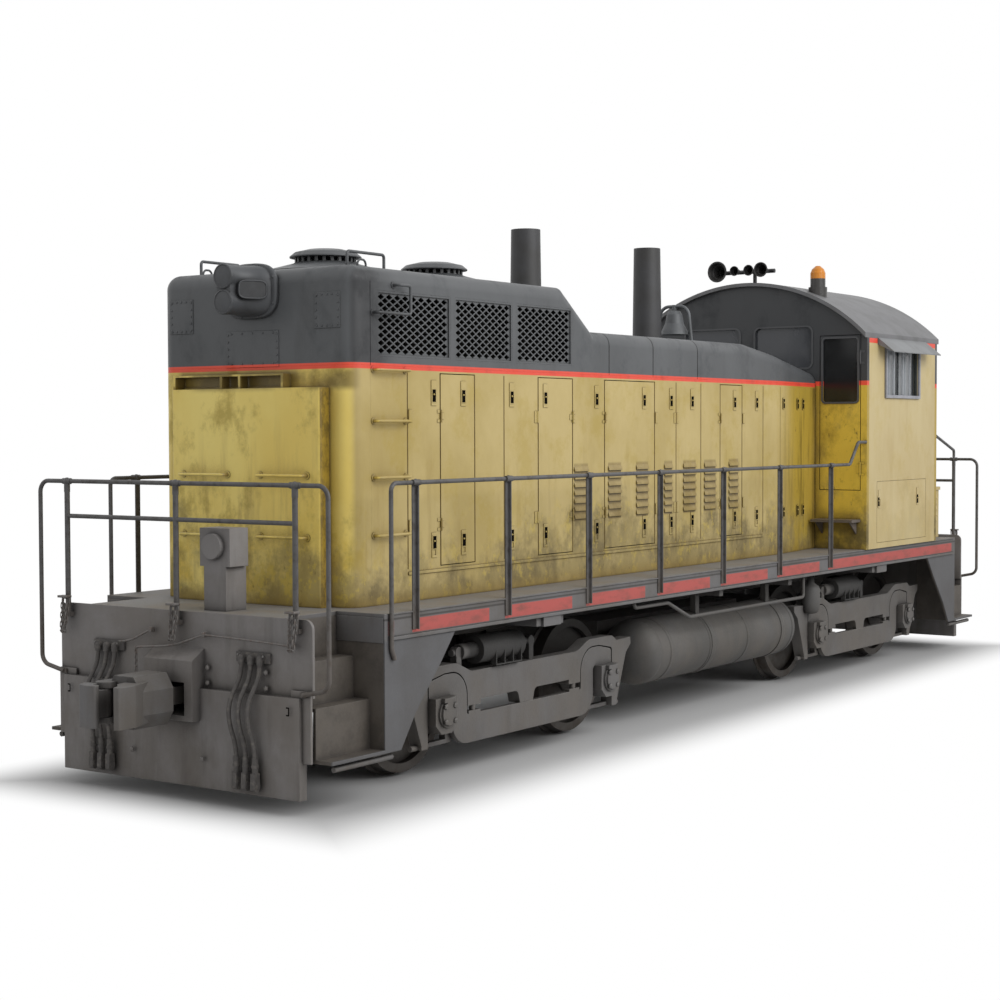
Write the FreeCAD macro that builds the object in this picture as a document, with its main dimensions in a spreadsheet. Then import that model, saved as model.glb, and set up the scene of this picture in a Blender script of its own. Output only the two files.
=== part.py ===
import FreeCAD, Part
import math
import os
import Sketcher
from FreeCAD import Placement, Rotation, Vector

# End-cab diesel switching locomotive, in millimetres. +X points to the hood end, +Y to the
# left side, +Z up. The origin is on the floor under the middle, where the wheel flanges stand.

os.makedirs("parts", exist_ok=True)
doc = FreeCAD.newDocument("EndCabSwitcher")
sheet = doc.addObject("Spreadsheet::Sheet", "Sizes")

# Driving dimensions: alias, millimetres, what it is.
DRIVING = (
    ("deck_top", 1405, "top of the running board"),
    ("deck_sheet", 30, "running board plate"),
    ("sill_depth", 200, "side sill, top to bottom"),
    ("sill_sheet", 25, "side sill web"),
    ("body_half", 1437, "half width over the side sills"),
    ("plate_x", 6245, "outer face of an end plate"),
    ("plate_sheet", 25, "end plate thickness"),
    ("plate_half", 1285, "half width of the end plate's upper sheet"),
    ("pilot_half", 1205, "half width of the pilot sheet"),
    ("pilot_proud", 55, "how far the pilot sheet stands ahead of the end plate"),
    ("pilot_low", 120, "bottom edge of the pilot"),
    ("pilot_top", 850, "top edge of the pilot sheet"),
    ("plate_round", 70, "top corner round of an end plate"),
    ("step_back", 5620, "inner end of a step well"),
    ("step_inner", 980, "half width of the deck beside the step wells"),
    ("tread_sheet", 25, "step tread and riser plate"),
    ("tread_low", 410, "top of the lowest step"),
    ("tread_mid", 775, "top of the middle step"),
    ("tread_high", 1085, "top of the upper step"),
    ("tread_proud", 3, "how far the lowest step stands outside the side sill"),
    ("tread_depth", 150, "going of one step"),
    ("skirt_reach", 870, "length of a step well's skirt under the sill"),
    ("draft_half", 165, "half width inside the draft pocket"),
    ("draft_wall", 40, "draft pocket and centre sill plate"),
    ("draft_low", 650, "floor of the draft pocket"),
    ("draft_high", 895, "ceiling of the draft pocket"),
    ("draft_length", 840, "draft pocket, from the end plate inwards"),
    ("centre_low", 940, "bottom of the centre sill between the pockets"),
    ("bolster_low", 1130, "underside of a body bolster"),
    ("bolster_length", 400, "body bolster along the frame"),
    ("seat_radius", 190, "truck centre plate"),
    ("seat_top", 880, "top of the truck's centre bowl"),
    ("seat_gap", 0.3, "running gap of seats and fits"),
    ("pad_drop", 80, "depth of a jacking pad under the sill"),
    ("pad_length", 260, "length of a jacking pad"),
    ("pad_width", 110, "width of a jacking pad"),
    ("truck_x", 3390, "truck centre from the middle of the locomotive"),
    ("axle_half", 1219, "half the wheelbase of a truck"),
    ("wheel_radius", 508, "wheel tread radius"),
    ("flange_depth", 28, "flange height outside the tread"),
    ("flange_width", 32, "flange thickness"),
    ("tread_width", 108, "width of the tread beside the flange"),
    ("back_half", 676, "half the distance between wheel backs"),
    ("axle_radius", 90, "axle body radius"),
    ("journal_radius", 70, "axle journal radius"),
    ("rim_depth", 75, "wheel rim thickness"),
    ("web_width", 36, "wheel web thickness"),
    ("hub_radius", 150, "wheel hub radius"),
    ("frame_in", 1060, "inner face of a truck side frame"),
    ("frame_sheet", 60, "truck side frame thickness"),
    ("equalizer_gap", 6, "gap between side frame and equalizer"),
    ("equalizer_sheet", 50, "equalizer bar thickness"),
    ("frame_top", 815, "top of a truck side frame between its arches"),
    ("frame_low", 580, "underside of a truck side frame's beam"),
    ("arch_top", 900, "top of a side frame's arch over a journal"),
    ("frame_reach", 1693, "half length of a truck side frame"),
    ("box_half", 150, "half width of a journal box"),
    ("box_low", 376, "bottom of a journal box"),
    ("box_high", 660, "top of a journal box"),
    ("box_depth", 190, "journal box from the side frame's inner face out"),
    ("journal_length", 150, "axle journal inside its box"),
    ("spring_x", 745, "equalizer spring from the truck's centre"),
    ("pocket_half", 88, "half width of a spring pocket on the side frame"),
    ("pocket_low", 540, "underside of a spring pocket"),
    ("spring_seat", 22, "spring seat on the equalizer"),
    ("horn_drop", 42, "top of a side frame's end below its arch"),
    ("horn_depth", 65, "depth of a side frame's end"),
    ("cylinder_z", 970, "brake cylinder axis height"),
    ("cylinder_y", 1105, "brake cylinder from the centre line"),
    ("cylinder_back", 70, "rear end of a brake cylinder from the truck's centre"),
    ("cylinder_length", 600, "brake cylinder barrel"),
    ("cylinder_radius", 115, "brake cylinder radius"),
    ("box_gap", 8, "gap between a journal box and its pedestal"),
    ("cap_radius", 110, "journal box cover radius"),
    ("cap_proud", 36, "how far a journal box cover stands out"),
    ("pedestal_low", 300, "bottom of a pedestal leg"),
    ("pedestal_leg", 80, "width of a pedestal leg"),
    ("tie_depth", 32, "pedestal tie bar depth"),
    ("equalizer_x", 850, "inner edge of an equalizer's upright from the truck's centre"),
    ("equalizer_width", 200, "width of an equalizer's upright"),
    ("equalizer_top", 825, "top of the equalizer over a journal box"),
    ("equalizer_clear", 10, "gap in the side frame round the equalizer"),
    ("bar_low", 245, "bottom of the equalizer"),
    ("bar_high", 475, "top of the equalizer's drop"),
    ("hood_half", 990, "half width of the hood"),
    ("hood_sheet", 45, "hood wall with its framing"),
    ("nose_x", 5430, "front face of the hood"),
    ("nose_seam", 5210, "joint between nose and side panels"),
    ("nose_round", 130, "nose corner radius"),
    ("nose_panel", 110, "how far the nose panel stands proud"),
    ("nose_panel_half", 770, "half width of the nose panel"),
    ("nose_panel_top", 3065, "top of the nose panel"),
    ("eave_z", 3230, "joint between hood sides and roof"),
    ("hatch_in", 630, "inner edge of an upper hatch on the turret's front"),
    ("hatch_out", 880, "outer edge of an upper hatch"),
    ("hatch_low", 3510, "bottom of an upper hatch"),
    ("hatch_high", 3780, "top of an upper hatch"),
    ("hatch_width", 270, "half width of the middle hatch"),
    ("hatch_sheet", 5, "how far a hatch stands out"),
    ("turret_top", 3985, "top of the radiator compartment"),
    ("turret_back", 2500, "rear edge of the turret's flat top"),
    ("slope_foot", 1990, "foot of the turret's rear slope"),
    ("low_top", 3620, "top of the low hood"),
    ("shoulder", 120, "shoulder radius of the hood roof"),
    ("tail_start", -1000, "where the low roof begins to fall"),
    ("tail_top", 3370, "top of the low hood at the cab"),
    ("taper_start", -1650, "where the hood sides begin to close in"),
    ("taper_half", 845, "half width of the hood at the cab"),
    ("groove_width", 6, "width of a shut line or roof seam"),
    ("groove_depth", 5, "depth of a shut line or roof seam"),
    ("latch_half", 35, "half width of a latch plate"),
    ("latch_height", 200, "height of a latch plate"),
    ("latch_low", 170, "lower latch above the bottom of its door"),
    ("latch_high", 157, "upper latch below the top of its door"),
    ("louver_low", 1950, "bottom of the lowest louver"),
    ("louver_pitch", 70, "spacing of the louvers"),
    ("louver_height", 46, "height of a louver"),
    ("louver_proud", 15, "how far a louver stands out"),
    ("door_low", 1660, "bottom of the hood doors"),
    ("door_high", 3190, "top of the hood doors"),
    ("door_sheet", 30, "hood door thickness"),
    ("door_gap", 7, "gap round a hood door"),
    ("hinge_radius", 8, "hinge barrel radius"),
    ("hinge_length", 50, "length of a door's hinge barrel"),
    ("hinge_strap", 45, "hinge strap over the leaf or the post"),
    ("hinge_sheet", 4, "hinge strap thickness"),
    ("hinge_low", 1990, "lower hinge of a hood door"),
    ("hinge_high", 2850, "upper hinge of a hood door"),
    ("grille_low", 3300, "bottom of the radiator openings"),
    ("grille_high", 3800, "top of the radiator openings"),
    ("grille_sheet", 12, "radiator screen thickness"),
    ("grille_set", 12, "radiator screen behind the turret's side"),
    ("grille_rim", 16, "rim of a radiator screen"),
    ("mesh_wide", 100, "width of a diamond in the screen"),
    ("mesh_tall", 62, "height of a diamond in the screen"),
    ("mesh_strand", 12, "width of the strands between diamonds"),
    ("fan_front", 4550, "front fan centre"),
    ("fan_rear", 3080, "rear fan centre"),
    ("fan_radius", 440, "fan blade tip radius"),
    ("fan_clear", 30, "gap between blade tips and shroud"),
    ("fan_base", 525, "fan housing base radius"),
    ("dome_radius", 250, "fan housing cap radius"),
    ("dome_rise", 225, "fan housing height over the roof"),
    ("dome_sheet", 20, "fan housing wall"),
    ("fan_ring", 35, "height of a fan housing's base ring"),
    ("crown_low", 112, "foot of the slotted ring under a fan cap"),
    ("crown_high", 152, "top of the slotted ring under a fan cap"),
    ("fan_cap", 292, "fan housing cap radius"),
    ("slot_width", 40, "slot between two ribs under a fan cap"),
    ("rotor_drop", 165, "underside of a fan rotor below the roof"),
    ("beam_drop", 750, "underside of a fan motor's beam below the roof"),
    ("beam_depth", 60, "fan motor beam depth"),
    ("stack_front", 1640, "front exhaust stack"),
    ("stack_rear", -620, "rear exhaust stack"),
    ("stack_foot", 152, "stack radius at the roof"),
    ("stack_head", 138, "stack radius at its top"),
    ("stack_bore", 118, "stack inner radius"),
    ("stack_top", 4620, "top of the exhaust stacks"),
    ("stack_flange", 195, "stack flange radius"),
    ("lamp_radius", 105, "headlamp radius"),
    ("lamp_half", 92, "headlamp above or below the middle of its casting"),
    ("lamp_reach", 340, "headlamp faces ahead of the wall behind"),
    ("lamp_body", 265, "length of the headlight casting"),
    ("lamp_flange", 35, "headlight flange thickness"),
    ("lamp_wide", 280, "half width of the headlight flange"),
    ("lamp_tall", 217, "half height of the headlight flange"),
    ("lamp_drop", 170, "middle of the front headlight below the turret's top"),
    ("board_length", 190, "number board, front to back"),
    ("board_height", 150, "number board, bottom to top"),
    ("board_rim", 14, "rim round a number board"),
    ("grab_radius", 12, "grab iron bar radius"),
    ("grab_stand", 60, "grab iron clear of its wall"),
    ("grab_foot", 26, "grab iron foot radius"),
    ("grab_front", 5310, "front end of a ladder rung"),
    ("grab_back", 4785, "rear end of a ladder rung"),
    ("roof_grab_y", 760, "roof grab rail from the centre line"),
    ("roof_grab_rise", 120, "roof grab rail over the roof"),
    ("bell_x", -1200, "bell from the middle"),
    ("engine_front", 2000, "front of the engine block"),
    ("engine_back", -1700, "back of the engine and generator"),
    ("engine_half", 600, "half width of the engine block"),
    ("engine_top", 3050, "top of the engine block"),
    ("cab_front", -2895, "outer face of the cab's front wall"),
    ("cab_length", 2035, "cab length over its end walls"),
    ("cab_proud", 30, "how far the cab's sides stand outside the side sills"),
    ("cab_wall", 60, "cab wall thickness"),
    ("cab_eave", 3800, "cab eave"),
    ("cab_crown", 4406, "cab roof crown"),
    ("roof_sheet", 40, "cab roof thickness"),
    ("roof_over", 50, "cab roof overhang at each end"),
    ("floor_top", 2050, "cab floor"),
    ("floor_sheet", 40, "cab floor plate"),
    ("cab_door_edge", 72, "outer edge of a cab door from the cab's side"),
    ("cab_door_width", 495, "width of a cab doorway"),
    ("cab_door_top", 3780, "top of a cab door"),
    ("cab_door_sheet", 40, "cab door thickness"),
    ("cab_door_gap", 8, "gap round a cab door"),
    ("cab_hinge_in", 250, "cab door hinge from the door's top or bottom"),
    ("pane_sheet", 8, "window glass thickness"),
    ("front_pane_in", 100, "inner edge of an end window"),
    ("front_pane_edge", 100, "end window from the doorway beside it"),
    ("front_pane_low", 3430, "bottom of an end window"),
    ("front_pane_high", 3880, "top of an end window"),
    ("corner_pane_edge", 42, "door or corner window from the doorway's edge"),
    ("corner_pane_low", 3040, "bottom of a door or corner window"),
    ("corner_pane_high", 3740, "top of a door or corner window"),
    ("pane_round", 60, "corner round of an end window"),
    ("corner_pane_round", 30, "corner round of a door or corner window"),
    ("gasket_width", 20, "window gasket, seen from the front"),
    ("gasket_proud", 8, "how far a window gasket stands proud"),
    ("side_pane_front", -3413, "front edge of a side window"),
    ("side_pane_length", 928, "length of a side window"),
    ("side_pane_low", 3120, "bottom of a side window"),
    ("side_pane_high", 3650, "top of a side window"),
    ("sash_width", 34, "side window frame bar"),
    ("sash_proud", 22, "how far a side window frame stands proud"),
    ("shade_reach", 190, "how far a sunshade stands out"),
    ("shade_drop", 150, "fall of a sunshade"),
    ("shade_sheet", 10, "sunshade sheet"),
    ("shade_over", 230, "sunshade past each end of its window"),
    ("shelf_top", 1740, "top of the shelf under a cab door"),
    ("shelf_reach", 230, "how far the shelf stands out"),
    ("shelf_sheet", 30, "shelf plate"),
    ("hatch_front", 280, "front edge of a battery hatch behind the cab's front wall"),
    ("hatch_back", 1705, "rear edge of a battery hatch behind the cab's front wall"),
    ("hatch_top", 2155, "top of a battery hatch in the cab's side"),
    ("hatch_sill", 60, "bottom of a battery hatch above the deck"),
    ("lid_sheet", 40, "battery box lid"),
    ("lid_over", 15, "battery box lid past its box"),
    ("box_length", 760, "battery box behind the cab"),
    ("battery_half", 1200, "half width of the battery box"),
    ("battery_gap", 25, "battery box top below the cab floor"),
    ("coupler_z", 790, "coupler centre line height"),
    ("coupler_pin", 5640, "coupler pivot from the middle"),
    ("shank_half", 65, "half width and height of the coupler shank"),
    ("coupler_face", 7060, "pulling face of a coupler from the middle"),
    ("knuckle_pin_in", 175, "knuckle pin behind the pulling face"),
    ("knuckle_pin_out", 140, "knuckle pin from the centre line"),
    ("knuckle_height", 300, "height of a knuckle"),
    ("head_half", 190, "half height of the coupler head"),
    ("head_wide", 165, "half width of the coupler head"),
    ("head_length", 330, "length of the coupler head's body"),
    ("head_back", 570, "rear of the coupler head behind the pulling face"),
    ("nose_half", 152, "half height of the knuckle's nose"),
    ("knuckle_gap", 5.5, "gap above and below a knuckle's hub"),
    ("rail_radius", 17, "handrail bar radius"),
    ("post_radius", 21, "handrail post radius"),
    ("fitting_radius", 28, "ball fitting where a rail meets a post"),
    ("post_width", 50, "side handrail post, along the sill"),
    ("post_sheet", 10, "side handrail post thickness"),
    ("post_leg", 34, "leg of a side handrail post away from the sill"),
    ("rail_inset", 13, "side handrail inside the cab's side"),
    ("rail_top", 2354, "top of the handrails"),
    ("post_first", 5267, "first side handrail post"),
    ("post_pitch", 1210, "spacing of the side handrail posts"),
    ("end_rail_x", 6282, "end handrail from the middle"),
    ("end_post", 1165, "outer post of an end handrail"),
    ("end_mid", 2085, "middle bar of an end handrail"),
    ("hose_radius", 17, "air hose radius"),
    ("hose_first", 650, "innermost hose from the centre line"),
    ("hose_pitch", 90, "spacing of the hoses"),
    ("elbow_radius", 24, "hose elbow radius"),
    ("manifold_sheet", 20, "hose manifold plate"),
    ("manifold_low", 1060, "bottom of a hose manifold"),
    ("reservoir_radius", 300, "air reservoir radius"),
    ("reservoir_z", 670, "air reservoir centre height"),
    ("reservoir_y", 1000, "air reservoir from the centre line"),
    ("reservoir_front", 1500, "front end of the air reservoirs"),
    ("reservoir_back", -1545, "rear end of the air reservoirs"),
    ("strap_width", 70, "reservoir strap width"),
    ("strap_sheet", 8, "reservoir strap thickness"),
    ("pipe_radius", 17, "air pipe radius"),
    ("pipe_front", 2000, "front end of the air pipe under the sill"),
    ("pipe_back", -1450, "rear end of the air pipe"),
    ("pipe_low", 990, "air pipe beside the reservoir"),
    ("brace_top", 2680, "where the rear end rail's brace meets the cab"),
    ("brace_bend", 112, "bend of the brace above the rear end rail"),
    ("chain_drop", 250, "hang of a safety chain's loop"),
    ("chain_radius", 6, "core of a safety chain"),
    ("tank_half", 640, "half width of the fuel tank"),
    ("tank_reach", 1400, "half length of the fuel tank"),
    ("tank_low", 420, "bottom of the fuel tank"),
    ("tank_round", 120, "lower corner radius of the fuel tank"),
)
for row, (alias, number, words) in enumerate(DRIVING, start=1):
    sheet.set("A%d" % row, alias)
    sheet.set("B%d" % row, str(number))
    sheet.set("C%d" % row, words)
    sheet.setAlias("B%d" % row, alias)
doc.recompute()


class Size:
    """A size that carries its sheet formula along with its number."""

    def __init__(self, formula, number):
        self.formula = formula
        self.number = float(number)

    def joined(self, sign, other, number, swapped=False):
        text = other.formula if isinstance(other, Size) else "(%.10g)" % other
        pair = (text, self.formula) if swapped else (self.formula, text)
        return Size("(%s %s %s)" % (pair[0], sign, pair[1]), number)

    def __add__(self, other):
        return self.joined("+", other, self.number + float(other))

    def __radd__(self, other):
        return self.joined("+", other, float(other) + self.number, True)

    def __sub__(self, other):
        return self.joined("-", other, self.number - float(other))

    def __rsub__(self, other):
        return self.joined("-", other, float(other) - self.number, True)

    def __mul__(self, other):
        return self.joined("*", other, self.number * float(other))

    def __rmul__(self, other):
        return self.joined("*", other, float(other) * self.number, True)

    def __truediv__(self, other):
        return self.joined("/", other, self.number / float(other))

    def __neg__(self):
        return self * -1

    def __float__(self):
        return self.number


class Sheet:
    """Reads the driving dimensions by alias."""

    def __getattr__(self, alias):
        return Size("Sizes." + alias, sheet.get(alias))


s = Sheet()

# Sizes that follow from the driving ones.
cab_half = s.body_half + s.cab_proud
rail_out = cab_half - s.rail_inset
cab_door_out = cab_half - s.cab_door_edge
cab_door_in = cab_door_out - s.cab_door_width
corner_pane_out = cab_door_out - s.corner_pane_edge
corner_pane_in = cab_door_in + s.corner_pane_edge
front_pane_out = cab_door_in - s.front_pane_edge
tread_out = s.body_half + s.tread_proud


# ---- shapes that the sub-parts are made of ----

def tie(thing, name, size):
    """Sets a property, by formula where the size has one."""
    if isinstance(size, Size):
        thing.setExpression(name, size.formula)
    else:
        holder = thing
        for step in name.split(".")[:-1]:
            holder = getattr(holder, step)
        if holder is thing:
            setattr(thing, name, size)
        else:
            place = thing.Placement
            setattr(place.Base, name.split(".")[-1], size)
            thing.Placement = place


def put(thing, x, y, z, turn=Rotation()):
    """Places a primitive, by formula where its coordinates have one."""
    thing.Placement = Placement(Vector(float(x), float(y), float(z)), turn)
    for letter, size in (("x", x), ("y", y), ("z", z)):
        if isinstance(size, Size):
            thing.setExpression("Placement.Base." + letter, size.formula)


def box(x_low, x_high, y_low, y_high, z_low, z_high):
    """Part::Box between two corners."""
    made = doc.addObject("Part::Box", "Block")
    tie(made, "Length", x_high - x_low)
    tie(made, "Width", y_high - y_low)
    tie(made, "Height", z_high - z_low)
    put(made, x_low, y_low, z_low)
    return made


ALONG = {
    "X": Rotation(Vector(0, 1, 0), 90),
    "Y": Rotation(Vector(1, 0, 0), -90),
    "Z": Rotation(),
}


def drum(axis, x, y, z, radius, length):
    """Part::Cylinder that starts at a point and runs along an axis."""
    made = doc.addObject("Part::Cylinder", "Drum")
    tie(made, "Radius", radius)
    tie(made, "Height", length)
    put(made, x, y, z, ALONG[axis])
    return made


def cone(axis, x, y, z, foot, head, length):
    """Part::Cone that starts at a point and runs along an axis."""
    made = doc.addObject("Part::Cone", "Cone")
    tie(made, "Radius1", foot)
    tie(made, "Radius2", head)
    tie(made, "Height", length)
    put(made, x, y, z, ALONG[axis])
    return made


def fused(pieces):
    """Part::MultiFuse of touching or overlapping pieces."""
    made = doc.addObject("Part::MultiFuse", "Fused")
    made.Shapes = list(pieces)
    made.Refine = True
    return made


def together(pieces):
    """Part::Compound of solids that stay apart."""
    made = doc.addObject("Part::Compound", "Set")
    made.Links = list(pieces)
    return made


def cut(base, tools):
    """Part::Cut of one piece by one or more tools."""
    made = doc.addObject("Part::Cut", "Cut")
    made.Base = base
    made.Tool = tools[0] if len(tools) == 1 else together(tools)
    made.Refine = True
    return made


def common(one, other):
    """Part::Common of two pieces."""
    made = doc.addObject("Part::Common", "Common")
    made.Base = one
    made.Tool = other
    made.Refine = True
    return made


def turned(piece):
    """The same piece at the other end, turned half way round about the vertical."""
    made = together([piece])
    made.Placement = Placement(Vector(), Rotation(Vector(0, 0, 1), 180))
    return made


def mirrored(piece, normal):
    """Part::Mirroring of a piece through the origin."""
    made = doc.addObject("Part::Mirroring", "Mirror")
    made.Source = piece
    made.Base = Vector()
    made.Normal = normal
    return made


LEFT_TO_RIGHT = Vector(0, 1, 0)
FRONT_TO_REAR = Vector(1, 0, 0)


def both_sides(piece):
    """A piece on the left and its mirror image on the right."""
    return [piece, mirrored(piece, LEFT_TO_RIGHT)]


def shaped(name, shape):
    """Part::Feature that holds a shape worked out from the sheet."""
    made = doc.addObject("Part::Feature", name)
    made.Shape = shape
    return made


def spot(plane, u, v, depth):
    """A point of an outline drawn in XY, XZ or YZ, at its depth along the third axis."""
    u, v, depth = float(u), float(v), float(depth)
    if plane == "XZ":
        return Vector(u, depth, v)
    if plane == "YZ":
        return Vector(depth, u, v)
    return Vector(u, v, depth)


def rounded(points, radii, closed):
    """Straight runs through points, joined by tangent arcs. Returns edges."""
    count = len(points)
    enters = list(points)
    leaves = list(points)
    middles = [None] * count
    inner = range(count) if closed else range(1, count - 1)
    for i in inner:
        radius = float(radii[i])
        if radius <= 0:
            continue
        back = points[i - 1] - points[i]
        ahead = points[(i + 1) % count] - points[i]
        half = back.getAngle(ahead) / 2
        back.normalize()
        ahead.normalize()
        reach = radius / math.tan(half)
        enters[i] = points[i] + back * reach
        leaves[i] = points[i] + ahead * reach
        inward = back + ahead
        inward.normalize()
        middles[i] = points[i] + inward * (radius / math.sin(half) - radius)
    edges = []
    for i in range(count):
        if middles[i] is not None:
            edges.append(Part.Arc(enters[i], middles[i], leaves[i]).toShape())
        if i == count - 1 and not closed:
            break
        start, stop = leaves[i], enters[(i + 1) % count]
        if (stop - start).Length > 1e-6:
            edges.append(Part.LineSegment(start, stop).toShape())
    return edges


def outline(plane, corners, depth):
    """Closed wire through (u, v) or (u, v, corner radius) corners."""
    points = [spot(plane, corner[0], corner[1], depth) for corner in corners]
    radii = [corner[2] if len(corner) > 2 else 0 for corner in corners]
    return Part.Wire(rounded(points, radii, True))


def slab(plane, corners, start, stop, holes=()):
    """Solid between two depths from an outline and the outlines of its holes."""
    wires = [outline(plane, corners, start)]
    wires += [outline(plane, hole, start) for hole in holes]
    face = Part.makeFace(wires, "Part::FaceMakerBullseye") if holes else Part.Face(wires)
    return face.extrude(spot(plane, 0, 0, stop) - spot(plane, 0, 0, start))


def tube(points, radius, bend, closed=False):
    """Round bar along straight runs joined by arcs of one bend radius."""
    points = [Vector(float(x), float(y), float(z)) for x, y, z in points]
    edges = rounded(points, [bend] * len(points), closed)
    path = Part.Wire(edges)
    first = edges[0]
    start = first.valueAt(first.FirstParameter)
    heading = first.tangentAt(first.FirstParameter)
    ring = Part.Wire(Part.makeCircle(float(radius), start, heading))
    return path.makePipeShell([ring], True, False)


def sketch_outline(body, plane_role, corners):
    """Closed polygon sketch on a body's own origin plane, each corner bound to the sheet."""
    plane = [f for f in body.Origin.OriginFeatures if f.Role == plane_role][0]
    made = body.newObject("Sketcher::SketchObject", "Profile")
    made.AttachmentSupport = [(plane, "")]
    made.MapMode = "FlatFace"
    count = len(corners)
    ends = [Vector(float(u), float(v), 0) for u, v in corners]
    for i in range(count):
        made.addGeometry(Part.LineSegment(ends[i], ends[(i + 1) % count]), False)
    for i in range(count):
        made.addConstraint(Sketcher.Constraint("Coincident", i, 2, (i + 1) % count, 1))
    for i, (u, v) in enumerate(corners):
        for kind, size in (("DistanceX", u), ("DistanceY", v)):
            index = made.addConstraint(Sketcher.Constraint(kind, -1, 1, i, 1, float(size)))
            if isinstance(size, Size):
                made.setExpression("Constraints[%d]" % index, size.formula)
    return made


def turned_body(name, plane_role, corners, axis_name):
    """PartDesign body: a profile turned about one of its sketch's axes."""
    body = doc.addObject("PartDesign::Body", name)
    profile = sketch_outline(body, plane_role, corners)
    turn = body.newObject("PartDesign::Revolution", "Turned")
    turn.Profile = profile
    turn.ReferenceAxis = (profile, [axis_name])
    turn.Angle = 360
    body.Tip = turn
    return body


# ---- platform: underframe, end plates, step wells and what hangs under the deck ----

def underframe():
    """Deck plates, channel side sills, box centre sill, bolsters, draft pockets and jacking pads."""
    deck_low = s.deck_top - s.deck_sheet
    sill_low = s.deck_top - s.sill_depth
    end = s.plate_x - s.plate_sheet
    web = s.draft_half + s.draft_wall
    pocket = end - s.draft_length
    pieces = [
        box(-end, end, -s.step_inner, s.step_inner, deck_low, s.deck_top),
        box(-s.step_back, s.step_back, -s.body_half, s.body_half, deck_low, s.deck_top),
        box(-end, end, -web, -s.draft_half, s.centre_low, deck_low),
        box(-end, end, s.draft_half, web, s.centre_low, deck_low),
        box(-pocket - s.draft_wall, pocket + s.draft_wall, -web, web,
            s.centre_low, s.centre_low + s.draft_wall),
    ]
    for side in (-1, 1):
        out = s.body_half * side
        web_in = (s.body_half - s.sill_sheet) * side
        lip = (s.body_half - s.pad_width) * side
        low, high = (out, web_in) if side < 0 else (web_in, out)
        pieces.append(box(-s.step_back, s.step_back, low, high, sill_low, deck_low))
        low, high = (out, lip) if side < 0 else (lip, out)
        pieces.append(box(-s.step_back, s.step_back, low, high, sill_low, sill_low + s.sill_sheet))
    for centre in (-s.truck_x, s.truck_x):
        half = s.bolster_length / 2
        inner = s.body_half - s.sill_sheet
        pieces.append(box(centre - half, centre + half, -inner, inner, s.bolster_low, deck_low))
        pieces.append(drum("Z", centre, 0, s.seat_top + s.seat_gap, s.seat_radius,
                           s.bolster_low - s.seat_top - s.seat_gap))
        for side in (-1, 1):
            out = s.body_half * side
            lip = (s.body_half - s.pad_width) * side
            low, high = (out, lip) if side < 0 else (lip, out)
            pad = s.pad_length / 2
            pieces.append(box(centre - pad, centre + pad, low, high, sill_low - s.pad_drop, sill_low))
    for end_side in (-1, 1):
        near, far = pocket * end_side, end * end_side
        low, high = (far, near) if end_side < 0 else (near, far)
        floor = s.draft_low - s.draft_wall
        pieces.append(box(low, high, -web, -s.draft_half, floor, s.centre_low))
        pieces.append(box(low, high, s.draft_half, web, floor, s.centre_low))
        pieces.append(box(low, high, -web, web, floor, s.draft_low))
        pieces.append(box(low, high, -web, web, s.draft_high, s.centre_low))
        pieces.append(drum("Z", s.coupler_pin * end_side, 0, s.draft_low,
                           s.shank_half / 2, s.draft_high - s.draft_low))
    return fused(pieces)


def end_plate():
    """End plate with its pilot sheet and the striker casting round the coupler's opening."""
    inner = s.plate_x - s.plate_sheet
    striker_half = s.draft_half + 2 * s.draft_wall
    striker_top = s.draft_high + s.plate_half - s.pilot_half + s.draft_half
    pilot_x = s.plate_x + s.pilot_proud
    sheet_shape = slab("YZ", (
        (-s.pilot_half, s.pilot_low),
        (s.pilot_half, s.pilot_low),
        (s.pilot_half, s.pilot_top),
        (s.plate_half, s.pilot_top),
        (s.plate_half, s.deck_top, s.plate_round),
        (-s.plate_half, s.deck_top, s.plate_round),
        (-s.plate_half, s.pilot_top),
        (-s.pilot_half, s.pilot_top),
    ), inner, s.plate_x)
    pilot = box(s.plate_x, pilot_x, -s.pilot_half, s.pilot_half, s.pilot_low, s.pilot_top)
    striker = shaped("Striker", slab("XZ", (
        (s.plate_x, s.draft_low - s.draft_wall),
        (pilot_x + s.draft_wall * 2, s.draft_low - s.draft_wall),
        (pilot_x + s.draft_wall * 2, striker_top - s.draft_half / 2),
        (s.plate_x, striker_top),
    ), -striker_half, striker_half))
    opening = box(inner - s.draft_wall, pilot_x + s.draft_wall * 4,
                  -s.draft_half, s.draft_half, s.draft_low, s.draft_high)
    return cut(fused([shaped("Sheet", sheet_shape), pilot, striker]), [opening])


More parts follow.
